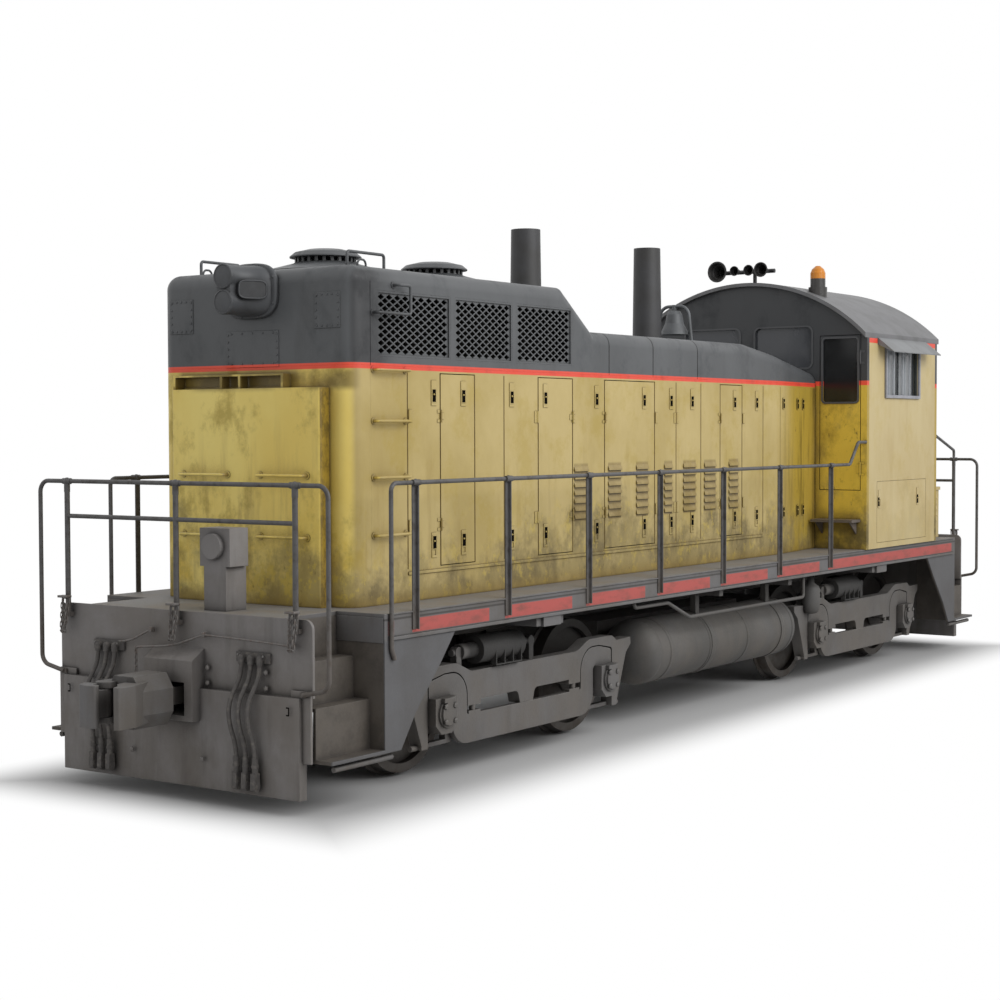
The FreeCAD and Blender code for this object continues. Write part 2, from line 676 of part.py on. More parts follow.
def step_wells():
    """Four corner stairs, each a folded plate of three treads with a gusset skirt behind it."""
    end = s.plate_x - s.plate_sheet
    t = s.tread_sheet
    sill_low = s.deck_top - s.sill_depth
    outs = [tread_out, tread_out - s.tread_depth, tread_out - 2 * s.tread_depth, s.step_inner]
    tops = [s.tread_low, s.tread_mid, s.tread_high, s.deck_top - s.deck_sheet]
    stair = []
    for i in range(3):
        stair += [(outs[i], tops[i] - t), (outs[i], tops[i]), (outs[i + 1], tops[i])]
    stair.append((s.step_inner, tops[3]))
    stair.append((s.step_inner - t, tops[3]))
    for i in (2, 1):
        stair.append((outs[i + 1] - t, tops[i] - t))
        stair.append((outs[i] - t, tops[i] - t))
    stair.append((outs[1] - t, tops[0] - t))
    folded = shaped("Stair", slab("YZ", stair, s.step_back, end))
    back = box(s.step_back - t, s.step_back, s.step_inner - t, s.body_half - s.sill_sheet,
               s.tread_low - t, sill_low)
    skirt = shaped("Skirt", slab("XZ", (
        (s.step_back, sill_low),
        (s.step_back - s.skirt_reach, sill_low),
        (s.step_back - s.skirt_reach * 0.79, s.tread_mid + s.tread_depth * 1.4),
        (s.step_back - s.skirt_reach * 0.42, s.tread_low + s.tread_depth * 1.5),
        (s.step_back - s.skirt_reach * 0.22, s.tread_low - t),
        (s.step_back, s.tread_low - t),
    ), s.body_half - s.sill_sheet, s.body_half))
    well = fused([folded, back])
    left = []
    for piece in (well, skirt):
        left += [piece, mirrored(piece, FRONT_TO_REAR)]
    return together(left + [mirrored(each, LEFT_TO_RIGHT) for each in left])


def fuel_tank():
    """Tank slung under the centre sill between the trucks, with rounded lower corners."""
    return shaped("Tank", slab("YZ", (
        (-s.tank_half, s.tank_low, s.tank_round),
        (s.tank_half, s.tank_low, s.tank_round),
        (s.tank_half, s.centre_low),
        (-s.tank_half, s.centre_low),
    ), -s.tank_reach, s.tank_reach))


def air_reservoirs():
    """One dished reservoir on each side, hung from the side sill by two straps."""
    body = doc.addObject("PartDesign::Body", "Reservoir")
    r = s.reservoir_radius
    profile = sketch_outline(body, "XZ_Plane", (
        (s.reservoir_back, 0),
        (s.reservoir_front, 0),
        (s.reservoir_front - r * 0.12, r * 0.6),
        (s.reservoir_front - r * 0.4, r),
        (s.reservoir_back + r * 0.4, r),
        (s.reservoir_back + r * 0.12, r * 0.6),
    ))
    turn = body.newObject("PartDesign::Revolution", "Turned")
    turn.Profile = profile
    turn.ReferenceAxis = (profile, ["H_Axis"])
    turn.Angle = 360
    body.Tip = turn
    put(body, 0, s.reservoir_y, s.reservoir_z)
    pieces = [body]
    sill_low = s.deck_top - s.sill_depth
    for place in (s.reservoir_front - 4 * r, s.reservoir_front - 9 * r):
        band = drum("X", place, s.reservoir_y, s.reservoir_z, r + s.strap_sheet, s.strap_width)
        hanger = box(place, place + s.strap_width, s.reservoir_y + r * 0.2,
                     s.body_half - s.pad_width * 0.5, sill_low - s.strap_width, sill_low)
        link = box(place, place + s.strap_width, s.reservoir_y + r * 0.2,
                   s.reservoir_y + r * 0.4, s.reservoir_z + r * 0.8, sill_low)
        pieces += [band, hanger, link]
    left = [fused(pieces), sill_pipe()]
    return together(left + [mirrored(each, LEFT_TO_RIGHT) for each in left])


def sill_pipe():
    """Air pipe that hangs under the side sill, drops beside the reservoir and rises again."""
    r = s.pipe_radius
    y = s.body_half - s.sill_sheet - r
    top = s.deck_top - s.sill_depth
    high = top - 2 * r
    return shaped("Pipe", tube((
        (s.pipe_front, y, top), (s.pipe_front, y, high - r), (s.reservoir_front - 6 * r, y, high - r),
        (s.reservoir_front - 30 * r, y, s.pipe_low), (s.pipe_back, y, s.pipe_low), (s.pipe_back, y, top),
    ), r, 40))


def handrail_side():
    """Side handrail: posts on the sill, a rail with drooped front end, and a rise to the cab."""
    r = s.rail_radius
    y = rail_out
    shapes = []
    last = s.post_first - 6 * s.post_pitch
    front = s.post_first + s.post_pitch * 0.24
    sill_mid = s.deck_top - s.sill_depth * 0.7
    rail = [
        (front - r * 2, y, sill_mid - s.sill_depth),
        (front, y, sill_mid - s.sill_depth * 0.6),
        (front, y, s.rail_top),
        (last - s.post_pitch * 0.4, y, s.rail_top),
        (last - s.post_pitch * 0.58, y, s.rail_top + s.sill_depth * 1.2),
        (s.cab_front + s.seat_gap, y, s.rail_top + s.sill_depth * 1.2),
    ]
    shapes.append(tube(rail, r, 60))
    for i in range(7):
        x = s.post_first - i * s.post_pitch
        tall = float(s.rail_top - sill_mid)
        side = float(s.body_half + s.seat_gap)
        foot = Vector(float(x - s.post_width / 2), side, float(sill_mid))
        shapes.append(Part.makeBox(float(s.post_width), float(s.post_sheet), tall, foot))
        shapes.append(Part.makeBox(float(s.post_sheet), float(s.post_leg), tall, foot))
        head = Vector(float(x), float(y), float(s.rail_top))
        shapes.append(Part.makeSphere(float(s.fitting_radius), head))
    solid = shapes[0].multiFuse(shapes[1:]).removeSplitter()
    return shaped("SideRail", solid)


def handrail_end():
    """End handrail: three posts on the end plate, a middle bar and outer loops that droop."""
    r = s.rail_radius
    x = s.end_rail_x
    y = s.end_post
    loop_y = s.plate_half + s.sill_depth * 0.92
    low = s.pilot_top + s.tread_depth * 0.5
    foot = s.deck_top - s.sill_depth * 0.5
    shapes = [tube((
        (x, 60 - s.plate_half, low - 50),
        (x, -loop_y, low),
        (x, -loop_y, s.rail_top),
        (x, loop_y, s.rail_top),
        (x, loop_y, low),
        (x, s.plate_half - 60, low - 50),
    ), r, 90)]
    for place in (-y, Size("0", 0), y):
        base = Vector(float(x), float(place), float(foot))
        shapes.append(Part.makeCylinder(float(s.post_radius), float(s.rail_top - foot), base))
        head = Vector(float(x), float(place), float(s.rail_top))
        shapes.append(Part.makeSphere(float(s.fitting_radius), head))
    base = Vector(float(x), float(-y), float(s.end_mid))
    shapes.append(Part.makeCylinder(float(r), float(2 * y), base, Vector(0, 1, 0)))
    hook_y = s.plate_half - 60
    reach = float(s.end_rail_x - s.plate_x)
    for place, height in ((-y, foot), (Size("0", 0), foot), (y, foot),
                          (-hook_y, low - 50 - r), (hook_y, low - 50 - r)):
        corner = Vector(float(s.plate_x), float(place - 1.5 * r), float(height))
        shapes.append(Part.makeBox(reach, float(3 * r), float(2 * r), corner))
    return shaped("EndRail", shapes[0].multiFuse(shapes[1:]).removeSplitter())


def end_rail_brace():
    """Brace on the left from the cab's rear wall down to the top of the rear end rail's post."""
    cab_back = s.cab_front - s.cab_length
    cab_y = cab_half - 4 * s.rail_radius
    foot = s.rail_top + s.fitting_radius + s.seat_gap
    return shaped("Brace", tube((
        (cab_back - s.seat_gap, cab_y, s.brace_top),
        (cab_back - 4 * s.rail_radius, cab_y, s.brace_top),
        (-s.end_rail_x, s.end_post + s.seat_gap, s.rail_top + s.brace_bend),
        (-s.end_rail_x, s.end_post + s.seat_gap, foot),
    ), s.rail_radius, 40))


def safety_chains():
    """Core of the short chain that hangs as a loop in front of each end handrail post."""
    loops = []
    top = s.deck_top + s.chain_radius * 6
    low = top - s.chain_drop
    clear = s.end_rail_x + s.post_radius + s.seat_gap
    x = clear + s.chain_radius
    hang = s.chain_radius * 5
    for place in (-s.end_post, s.end_post * 0, s.end_post):
        loops.append(shaped("Chain", tube((
            (x, place - hang, top),
            (x + hang, place - hang / 2, low),
            (x + hang, place + hang / 2, low),
            (x, place + hang, top),
        ), s.chain_radius, 14)))
        loops.append(box(clear, x + s.chain_radius, place - hang - s.chain_radius,
                         place + hang + s.chain_radius, top, top + s.post_radius))
    return [fused(loops[i:i + 2]) for i in range(0, len(loops), 2)]


# Air hose route in the plane of one hose: ahead of the pilot sheet, height.
HOSE_ROUTE = ((0, 1060), (0, 975), (36, 890), (80, 800), (94, 700), (82, 590), (60, 490), (60, 400))


def hose_places():
    """Distances of the hoses from the centre line, both sides."""
    return [side * (s.hose_first + i * s.hose_pitch) for side in (1, -1) for i in range(3)]


def air_hoses():
    """Six plain hoses at one end, each straight runs joined by arcs as large as the runs allow."""
    solids = []
    for place in hose_places():
        points = [Vector(float(s.plate_x) + 45 + u, float(place), z) for u, z in HOSE_ROUTE]
        radii = [0] * len(points)
        for i in range(1, len(points) - 1):
            back, ahead = points[i - 1] - points[i], points[i + 1] - points[i]
            turn = math.pi - back.getAngle(ahead)
            radii[i] = 0.45 * min(back.Length, ahead.Length) / math.tan(turn / 2)
        edges = rounded(points, radii, False)
        heading = points[1] - points[0]
        ring = Part.Wire(Part.makeCircle(float(s.hose_radius), points[0], heading))
        solids.append(Part.Wire(edges).makePipeShell([ring], True, False))
    print("hose radii", [round(r) for r in radii])
    return shaped("Hoses", Part.makeCompound(solids))


def hose_couplings():
    """At each hose: an elbow on the manifold plate above, and a clamp and hose head below."""
    solids = []
    r = s.elbow_radius
    u, z = HOSE_ROUTE[-1]
    mouth = s.plate_x + 45
    x = mouth + u
    for place in hose_places():
        neck = drum("Z", x, place, z - 110, s.hose_radius * 1.35, 110)
        clamp = drum("Z", x, place, z - 70, s.hose_radius * 1.6, 18)
        palm = shaped("Palm", slab("XZ", (
            (x - 26, z - 110),
            (x - 30, z - 215, 20),
            (x - 4, z - 250, 20),
            (x + 30, z - 225, 20),
            (x + 26, z - 110),
        ), place - 22, place + 22))
        eye = drum("Y", x, place - 28, z - 195, 24, 56)
        solids.append(fused([neck, clamp, palm, eye]))
    for side in (1, -1):
        near = (s.hose_first - s.hose_pitch * 0.8) * side
        far = (s.hose_first + s.hose_pitch * 2.8) * side
        low, high = (far, near) if side < 0 else (near, far)
        middle = s.manifold_low + 2 * r
        pieces = [box(s.plate_x, s.plate_x + s.manifold_sheet, low, high,
                      s.manifold_low + r / 2, middle + r * 1.5)]
        for i in range(3):
            place = (s.hose_first + i * s.hose_pitch) * side
            pieces.append(drum("X", s.plate_x, place, middle, r, 45))
            pieces.append(drum("Z", mouth, place, s.manifold_low, r, 2 * r))
            corner = Vector(float(mouth), float(place), float(middle))
            pieces.append(shaped("Elbow", Part.makeSphere(float(r), corner)))
        solids.append(fused(pieces))
    return together(solids)


def control_pedestal():
    """Post with a covered cable receptacle that stands on the front deck."""
    y = s.draft_half * 1.4
    x = s.plate_x - s.sill_depth * 1.2
    z = s.deck_top
    return fused([
        box(x - 110, x + 110, y - 110, y + 110, z, z + 330),
        box(x - 90, x + 110, y - 150, y + 150, z + 330, z + 615),
        drum("X", x + 110, y, z + 480, 95, 45),
    ])


# ---- hood ----

# Hood door leaves: name, front edge, rear edge, latch, and whether the hinge is at the front edge.
LEAVES = (
    ("leaf_a", 4756, 4331, 4417, True),
    ("leaf_b", 4331, 3860, 4019, True),
    ("leaf_d", 3440, 2926, 3327, False),
    ("leaf_e", 2926, 2377, 2814, False),
    ("leaf_f", 2377, 1840, 1977, True),
    ("leaf_g", 1840, 937, 1133, True),
    ("leaf_h", 937, 525, 622, True),
    ("leaf_i", 525, 29, 206, True),
    ("leaf_k", -372, -848, -685, True),
    ("leaf_l", -848, -1322, -1176, True),
)
MOVING = ("leaf_b", "leaf_e", "leaf_g", "leaf_k")
# Louvered panels: front edge, rear edge, and the leaf that carries them.
LOUVERS = (
    (2354, 2122, "leaf_f"),
    (1779, 1551, "leaf_g"),
    (1280, 1059, "leaf_g"),
    (756, 600, "leaf_h"),
    (386, 135, "leaf_i"),
    (-39, -279, "post"),
    (-557, -764, "leaf_k"),
)
LOUVER_ROWS = 7


def hinge_lines(front, back, hinged_ahead):
    """Where a leaf's hinge axis lies, and which way the leaf and the post lie from it."""
    if hinged_ahead:
        return front - s.door_gap / 2, -1
    return back + s.door_gap / 2, 1


def strap(x, towards, z_low, z_high):
    """Hinge strap that lies on the outer face from the hinge line over the leaf or the post."""
    reach = s.hinge_strap * towards
    low, high = (x + reach, x) if towards < 0 else (x, x + reach)
    return box(low, high, s.hood_half, s.hood_half + s.hinge_sheet, z_low, z_high)


def hinge_half(x, towards, on_leaf):
    """The leaf's barrels, or the shorter ones above and below them that the post carries."""
    pieces = []
    half = s.hinge_length / 2
    y = s.hood_half + s.hinge_radius
    for z in (s.hinge_low, s.hinge_high):
        if on_leaf:
            spans = [(z - half, z + half)]
        else:
            spans = [(z - 2 * half, z - half - s.seat_gap), (z + half + s.seat_gap, z + 2 * half)]
        for low, high in spans:
            pieces.append(drum("Z", x, y, low, s.hinge_radius, high - low))
            pieces.append(strap(x, towards, low, high))
    return pieces


def louvers(leaf):
    """Pressed louvers, open at their lower edge, on one leaf or post."""
    pieces = []
    y = s.hood_half
    for front, back, carrier in LOUVERS:
        if carrier != leaf:
            continue
        for row in range(LOUVER_ROWS):
            z = s.louver_low + s.louver_pitch * row
            pieces.append(shaped("Louver", slab("YZ", (
                (y - s.groove_depth, z),
                (y + s.louver_proud, z),
                (y + s.louver_proud * 0.8, z + s.louver_height * 0.4),
                (y, z + s.louver_height),
                (y - s.groove_depth, z + s.louver_height),
            ), back, front)))
    return pieces


def latches(x):
    """Upper and lower latch plate, each with the pocket for its handle."""
    plates = []
    for z in (s.door_low + s.latch_low, s.door_high - s.latch_high):
        half = s.latch_height / 2
        plate = box(x - s.latch_half, x + s.latch_half, s.hood_half - s.groove_depth,
                    s.hood_half + s.groove_depth, z - half, z + half)
        pocket = box(x - s.latch_half / 2, x + s.latch_half / 2, s.hood_half,
                     s.hood_half + s.hood_sheet, z - half * 0.8, z)
        plates.append(cut(plate, [pocket]))
    return plates


def fixed_hinge(edge, leaf_side, shared):
    """Hinges of a leaf that stays shut; where the edge is shared they keep to their own leaf.

    leaf_side is 1 where the leaf lies ahead of its hinge edge and -1 where it lies behind.
    """
    pieces = []
    x = edge + leaf_side * (s.hinge_radius + s.groove_width) if shared else edge + 0
    strap = leaf_side * s.hinge_strap
    back = x - s.hinge_strap if not shared else x + (strap - s.hinge_strap) / 2
    ahead = x + s.hinge_strap if not shared else x + (strap + s.hinge_strap) / 2
    for z in (s.hinge_low, s.hinge_high):
        low, high = z - s.hinge_length, z + s.hinge_length
        pieces.append(drum("Z", x, s.hood_half + s.hinge_radius / 2, low, s.hinge_radius, high - low))
        pieces.append(box(back, ahead, s.hood_half - s.groove_depth,
                          s.hood_half + s.hinge_sheet, low, high))
    return pieces


def hood_side():
    """Left hood side below the roof: framed sheet that closes in at the cab, with its doorways."""
    inner = s.hood_sheet
    plan = (
        (s.nose_seam, s.hood_half),
        (s.taper_start, s.hood_half),
        (s.cab_front, s.taper_half),
        (s.cab_front, s.taper_half - inner),
        (s.taper_start, s.hood_half - inner),
        (s.nose_seam, s.hood_half - inner),
    )
    wall = shaped("SideSheet", slab("XY", plan, s.deck_top, s.eave_z))
    cuts = []
    moving = [row for row in LEAVES if row[0] in MOVING]
    hung = [row[1] if row[4] else row[2] for row in moving]
    shared = [row[1] for row in moving] + [row[2] for row in moving] + [LEAVES[0][1]]
    added = louvers("post")
    out = s.hood_half + inner
    for name, front, back, latch, hinged_ahead in LEAVES:
        if name in MOVING:
            x, towards = hinge_lines(front, back, hinged_ahead)
            cuts.append(box(Size(str(back), back), front, s.hood_half - 2 * inner, out,
                            s.door_low, s.door_high))
            added += hinge_half(x, -towards, False)
            continue
        for edge in (front, back):
            cuts.append(box(edge - s.groove_width / 2, edge + s.groove_width / 2,
                            s.hood_half - s.groove_depth, out, s.door_low, s.door_high))
        hinge_edge = front if hinged_ahead else back
        if hinge_edge not in hung:
            leaf_side = -1 if hinged_ahead else 1
            added += fixed_hinge(hinge_edge, leaf_side, hinge_edge in shared)
        added += latches(latch) + louvers(name)
    first, last = LEAVES[0][1], LEAVES[-1][2]
    added.append(box(Size(str(last), last), first, s.hood_half - s.groove_depth,
                     s.hood_half + s.groove_depth * 2, s.door_low - inner, s.door_low - inner / 2))
    return fused([cut(wall, cuts)] + added)


def hood_door(name, front, back, latch, hinged_ahead):
    """One flush hood door leaf with its latches, louvers and hinge barrels."""
    gap = s.door_gap
    leaf = box(back + gap, front - gap, s.hood_half - s.door_sheet, s.hood_half,
               s.door_low + gap, s.door_high - gap)
    x, towards = hinge_lines(front, back, hinged_ahead)
    return fused([leaf] + latches(latch) + louvers(name) + hinge_half(x, towards, True))


def hood_nose():
    """Front of the hood: rounded corners, an air intake, and the proud shutter panel below it."""
    inner = s.hood_sheet
    half = s.nose_panel_half
    front = s.nose_x + s.nose_panel
    shell = shaped("NoseSheet", slab("XY", (
        (s.nose_seam, s.hood_half),
        (s.nose_x, s.hood_half, s.nose_round),
        (s.nose_x, -s.hood_half, s.nose_round),
        (s.nose_seam, -s.hood_half),
        (s.nose_seam, inner - s.hood_half),
        (s.nose_x - inner, inner - s.hood_half, s.nose_round - inner),
        (s.nose_x - inner, s.hood_half - inner, s.nose_round - inner),
        (s.nose_seam, s.hood_half - inner),
    ), s.deck_top, s.eave_z))
    panel = shaped("NosePanel", slab("XY", (
        (s.nose_x, -half),
        (front, -half, inner / 2),
        (front, half, inner / 2),
        (s.nose_x, half),
    ), s.deck_top, s.nose_panel_top))
    lintel = s.nose_panel_top + s.nose_panel
    hood = box(s.nose_x, front - inner / 2, -half, half / 2, lintel - inner / 3, lintel)
    ribs = [
        box(s.nose_x, front - inner / 2, y - inner / 4, y + inner / 4, s.nose_panel_top, lintel)
        for y in (-half + inner / 4, -half / 3, -half / 12, half / 2 - inner / 4)
    ]
    intake = box(s.nose_x - inner / 2, front, -half + inner / 2, half / 2 - inner / 2,
                 s.nose_panel_top + inner / 3, lintel - inner / 3)
    return fused([cut(shell, [intake]), panel, hood] + ribs)


def roof_form(inset):
    """The hood roof as a solid, or its hollow when inset by the sheet."""
    nose = s.nose_x - inset
    half = s.hood_half - inset
    side = slab("XZ", (
        (s.cab_front, s.eave_z),
        (nose, s.eave_z),
        (nose, s.turret_top - inset),
        (s.turret_back - inset * 0.4, s.turret_top - inset),
        (s.slope_foot - inset * 0.4, s.low_top - inset),
        (s.tail_start, s.low_top - inset),
        (s.cab_front, s.tail_top - inset),
    ), -half, half)
    plan = slab("XY", (
        (s.cab_front, -(s.taper_half - inset)),
        (s.taper_start, -half),
        (nose, -half, s.nose_round - inset),
        (nose, half, s.nose_round - inset),
        (s.taper_start, half),
        (s.cab_front, s.taper_half - inset),
    ), s.eave_z, s.turret_top)
    form = side.common(plan)
    radius = float(s.shoulder - inset)
    edges = [e for e in form.Edges if is_shoulder(e, float(half))]
    return form.makeFillet(radius, edges)


def is_shoulder(edge, half):
    """True for the long upper edges of the hood roof on both sides."""
    ends = [vertex.Point for vertex in edge.Vertexes]
    if len(ends) < 2:
        return False
    above = all(point.z > float(s.eave_z) + 10 for point in ends)
    wide = all(abs(point.y) > float(s.taper_half) - 100 for point in ends)
    along = abs(ends[0].x - ends[1].x) > 200
    return above and wide and along


def roof_grooves():
    """Cutter for the seams across the hood roof and the nose joint."""
    half = s.groove_width / 2
    low = s.eave_z - s.hood_sheet
    wide = 2 * s.hood_half
    blanks = [box(x - half, x + half, -wide, wide, low, s.turret_top) for x in ROOF_SEAMS]
    blanks.append(box(s.nose_seam - half, s.nose_seam + half, -wide, wide,
                      low, s.turret_top - s.shoulder))
    return cut(together(blanks), [shaped("RoofCore", roof_form(s.groove_depth))])


def roof_hatches():
    """Thin bolted covers on the front of the turret."""
    lift = s.hatch_sheet
    spans = [(s.hatch_in, s.hatch_out, s.hatch_low, s.hatch_high)]
    spans.append((-s.hatch_out, -s.hatch_in, s.hatch_low, s.hatch_high))
    spans.append((-s.hatch_width, s.hatch_width, s.eave_z, s.hatch_low))
    return [
        box(s.nose_x - lift, s.nose_x + lift, low, high, z_low, z_high)
        for low, high, z_low, z_high in spans
    ]


def hood_roof():
    """Hollow upper hood: radiator turret, rear slope, low roof, the falling tail, and its seams."""
    shell = roof_form(Size("0", 0)).cut(roof_form(s.hood_sheet))
    openings = []
    for low, high in GRILLES:
        for side in (-1, 1):
            near, far = (s.hood_half - 2 * s.hood_sheet) * side, (s.hood_half + s.hood_sheet) * side
            y_low, y_high = (far, near) if side < 0 else (near, far)
            openings.append(box(low, high, y_low, y_high, s.grille_low, s.grille_high))
    for centre in (s.fan_front, s.fan_rear):
        openings.append(drum("Z", centre, 0, s.turret_top - 3 * s.hood_sheet,
                             s.fan_radius + s.fan_clear, 6 * s.hood_sheet))
    for centre in (s.stack_front, s.stack_rear):
        openings.append(drum("Z", centre, 0, s.low_top - 3 * s.hood_sheet,
                             s.stack_foot - 10, 6 * s.hood_sheet))
    openings.append(roof_grooves())
    ring = s.shoulder / 3
    lifting = [
        shaped("Ring", tube((
            (s.fan_front + ring * i, y, s.turret_top - ring),
            (s.fan_front + ring * i, y, s.turret_top + ring * 1.5),
            (s.fan_front + ring * (i + 2.5), y, s.turret_top + ring * 1.5),
            (s.fan_front + ring * (i + 2.5), y, s.turret_top - ring),
        ), s.rail_radius / 2, ring))
        for i, y in ((12, s.taper_half - ring), (12, ring - s.taper_half))
    ]
    return fused([cut(shaped("RoofShell", shell), openings)] + roof_hatches() + lifting)


# Seams across the low roof, from the front.
ROOF_SEAMS = (1760, 966, 97)
# Radiator openings in each side of the turret: rear edge, front edge.
GRILLES = ((4190, 5130), (3316, 4130), (2390, 3250))


def diamond(u, v, half_wide, half_tall):
    """Outline of one diamond hole."""
    return ((u - half_wide, v), (u, v - half_tall), (u + half_wide, v), (u, v + half_tall))


def radiator_screen(low, high):
    """One screen: a flat sheet with staggered diamond holes inside a raised rim."""
    g = s.seat_gap
    rim = s.grille_rim
    back = s.hood_half - s.grille_set - s.grille_sheet
    front = s.hood_half - s.grille_set
    bottom, top = s.grille_low + g, s.grille_high - g
    outer = ((low + g, bottom), (high - g, bottom), (high - g, top), (low + g, top))
    columns = round(float(high - low - 2 * rim) / float(s.mesh_wide))
    rows = round(float(top - bottom - 2 * rim) / float(s.mesh_tall))
    wide = (high - low - 2 * rim) / columns
    tall = (top - bottom - 2 * rim) / rows
    shrink = s.mesh_strand * 0.5
    half_wide = wide / 2 - shrink * float(wide) / float(tall)
    half_tall = tall / 2 - shrink
    holes = []
    for row in range(2 * rows - 1):
        shift = 0.5 if row % 2 == 0 else 1.0
        for column in range(columns if row % 2 == 0 else columns - 1):
            u = low + rim + wide * (column + shift)
            v = bottom + rim + tall * (row + 1) / 2
            holes.append(diamond(u, v, half_wide, half_tall))
    mesh = shaped("Screen", slab("XZ", outer, back, front, holes))
    lip = shaped("Rim", slab("XZ", outer, front, s.hood_half - g, [(
        (low + rim, bottom + rim), (high - rim, bottom + rim),
        (high - rim, top - rim), (low + rim, top - rim),
    )]))
    return fused([mesh, lip])


def radiator_grilles():
    """Diamond-mesh screens set in the radiator openings."""
    pieces = []
    for low, high in GRILLES:
        pieces += both_sides(radiator_screen(Size(str(low), low), Size(str(high), high)))
    return together(pieces)


def fan_housing(centre):
    """Fan cowl: base ring, low cone, a slotted ring under its cap, and the motor on a beam."""
    t = s.dome_sheet
    neck = s.dome_radius
    cap = s.fan_cap
    body = turned_body("Cowl", "XZ_Plane", (
        (s.fan_base, 0),
        (s.fan_base, s.fan_ring),
        (neck + t, s.crown_low - t / 2),
        (neck, s.crown_low),
        (neck, s.crown_high),
        (cap, s.crown_high),
        (cap, s.crown_high + t / 2),
        (cap * 0.86, s.dome_rise - t * 1.5),
        (cap * 0.5, s.dome_rise - t / 4),
        (0, s.dome_rise),
        (0, s.dome_rise - t),
        (cap * 0.5, s.dome_rise - t * 1.25),
        (neck - t, s.crown_high),
        (neck - t, s.crown_low - t),
        (s.fan_base - t, s.fan_ring - t / 2),
        (s.fan_base - t, 0),
    ), "V_Axis")
    put(body, centre, 0, s.turret_top)
    slots = []
    for i in range(24):
        slot = Part.makeBox(float(3 * t), float(s.slot_width), float(s.crown_high - s.crown_low - 4))
        slot.translate(Vector(float(neck - 2 * t), float(-s.slot_width / 2), float(s.crown_low + 2)))
        slot.rotate(Vector(), Vector(0, 0, 1), 15 * i)
        slot.translate(Vector(float(centre), 0, float(s.turret_top)))
        slots.append(slot)
    cowl = cut(body, [shaped("Slots", Part.makeCompound(slots))])
    beam_z = s.turret_top - s.beam_drop
    inner = s.hood_half - s.hood_sheet
    beam = box(centre - s.beam_depth, centre + s.beam_depth, -inner, inner, beam_z, beam_z + s.beam_depth)
    motor = drum("Z", centre, 0, beam_z + s.beam_depth, 150, s.beam_drop - s.beam_depth - s.rotor_drop)
    return [cowl, fused([beam, motor])]


def fan_housings():
    """Both fan cowls and their motors."""
    return together(fan_housing(s.fan_front) + fan_housing(s.fan_rear))


def fan_rotor(centre):
    """Radiator fan: hub and six pitched blades."""
    base = s.turret_top - s.rotor_drop
    hub = drum("Z", centre, 0, base + s.seat_gap, 110, 130)
    shapes = []
    for i in range(6):
        blade = Part.makeBox(float(s.fan_radius) - 90, 150, 10, Vector(90, -75, -5))
        blade.rotate(Vector(), Vector(1, 0, 0), 28)
        blade.rotate(Vector(), Vector(0, 0, 1), 60 * i)
        blade.translate(Vector(float(centre), 0, float(base) + 65))
        shapes.append(blade)
    return fused([hub] + [shaped("Blade", shape) for shape in shapes])


def exhaust_stacks():
    """Two tapered stacks, each welded to a round flange on the low roof."""
    stacks = []
    for centre in (s.stack_front, s.stack_rear):
        body = turned_body("Stack", "XZ_Plane", (
            (s.stack_bore, 0),
            (s.stack_flange, 0),
            (s.stack_flange, 25),
            (s.stack_foot, 25),
            (s.stack_head, s.stack_top - s.low_top),
            (s.stack_bore, s.stack_top - s.low_top),
        ), "V_Axis")
        put(body, centre, 0, s.low_top)
        stacks.append(body)
    return together(stacks)


def bell():
    """Cast bell under the yoke of a bent hoop whose foot is scribed to the falling roof."""
    x = s.bell_x
    z = s.low_top
    cup = turned_body("BellCup", "XZ_Plane", (
        (0, 262), (62, 252), (84, 215), (100, 120), (138, 40), (150, 0), (132, 0),
        (82, 115), (66, 205), (0, 222),
    ), "V_Axis")
    put(cup, x, 0, z + 130)
    hoop = shaped("Hoop", tube((
        (x, -215, z - 20), (x, -165, z + 430), (x, 165, z + 430), (x, 215, z - 20),
    ), 18, 110))
    yoke = drum("Z", x, 0, z + 385, 26, 62)
    foot = box(x - 90, x + 90, -260, 260, z - s.hood_sheet, z)
    return cut(fused([cup, hoop, yoke, foot]), [shaped("RoofForm", roof_form(Size("0", 0)))])


def headlight(x, z):
    """Casting with twin sealed lamps one above the other and a blank number board each side."""
    front = x + s.lamp_body
    foot = outline("YZ", [(y, z + w, 60) for y, w in (
        (-s.lamp_wide + 25, -s.lamp_tall + 20), (s.lamp_wide - 25, -s.lamp_tall + 20),
        (s.lamp_wide - 25, s.lamp_tall - 30), (-s.lamp_wide + 25, s.lamp_tall - 30),
    )], x + s.lamp_flange)
    half = s.lamp_radius + 12
    head = outline("YZ", [(y, z + w, half - 8) for y, w in (
        (-half, -s.lamp_half - half), (half, -s.lamp_half - half),
        (half, s.lamp_half + half), (-half, s.lamp_half + half),
    )], front)
    flange = shaped("Flange", slab("YZ", [(y, z + w, 70) for y, w in (
        (-s.lamp_wide, -s.lamp_tall), (s.lamp_wide, -s.lamp_tall),
        (s.lamp_wide, s.lamp_tall), (-s.lamp_wide, s.lamp_tall),
    )], x, x + s.lamp_flange))
    pieces = [flange, shaped("Casting", Part.makeLoft([foot, head], True, True))]
    for height in (z + s.lamp_half, z - s.lamp_half):
        rim = drum("X", x + s.lamp_flange, 0, height, s.lamp_radius, s.lamp_reach - s.lamp_flange)
        dish = drum("X", x + s.lamp_reach - 12, 0, height, s.lamp_radius - 10, 20)
        pieces.append(cut(rim, [dish]))
    pieces += both_sides(number_board(x + s.lamp_flange, z, half))
    return fused(pieces)


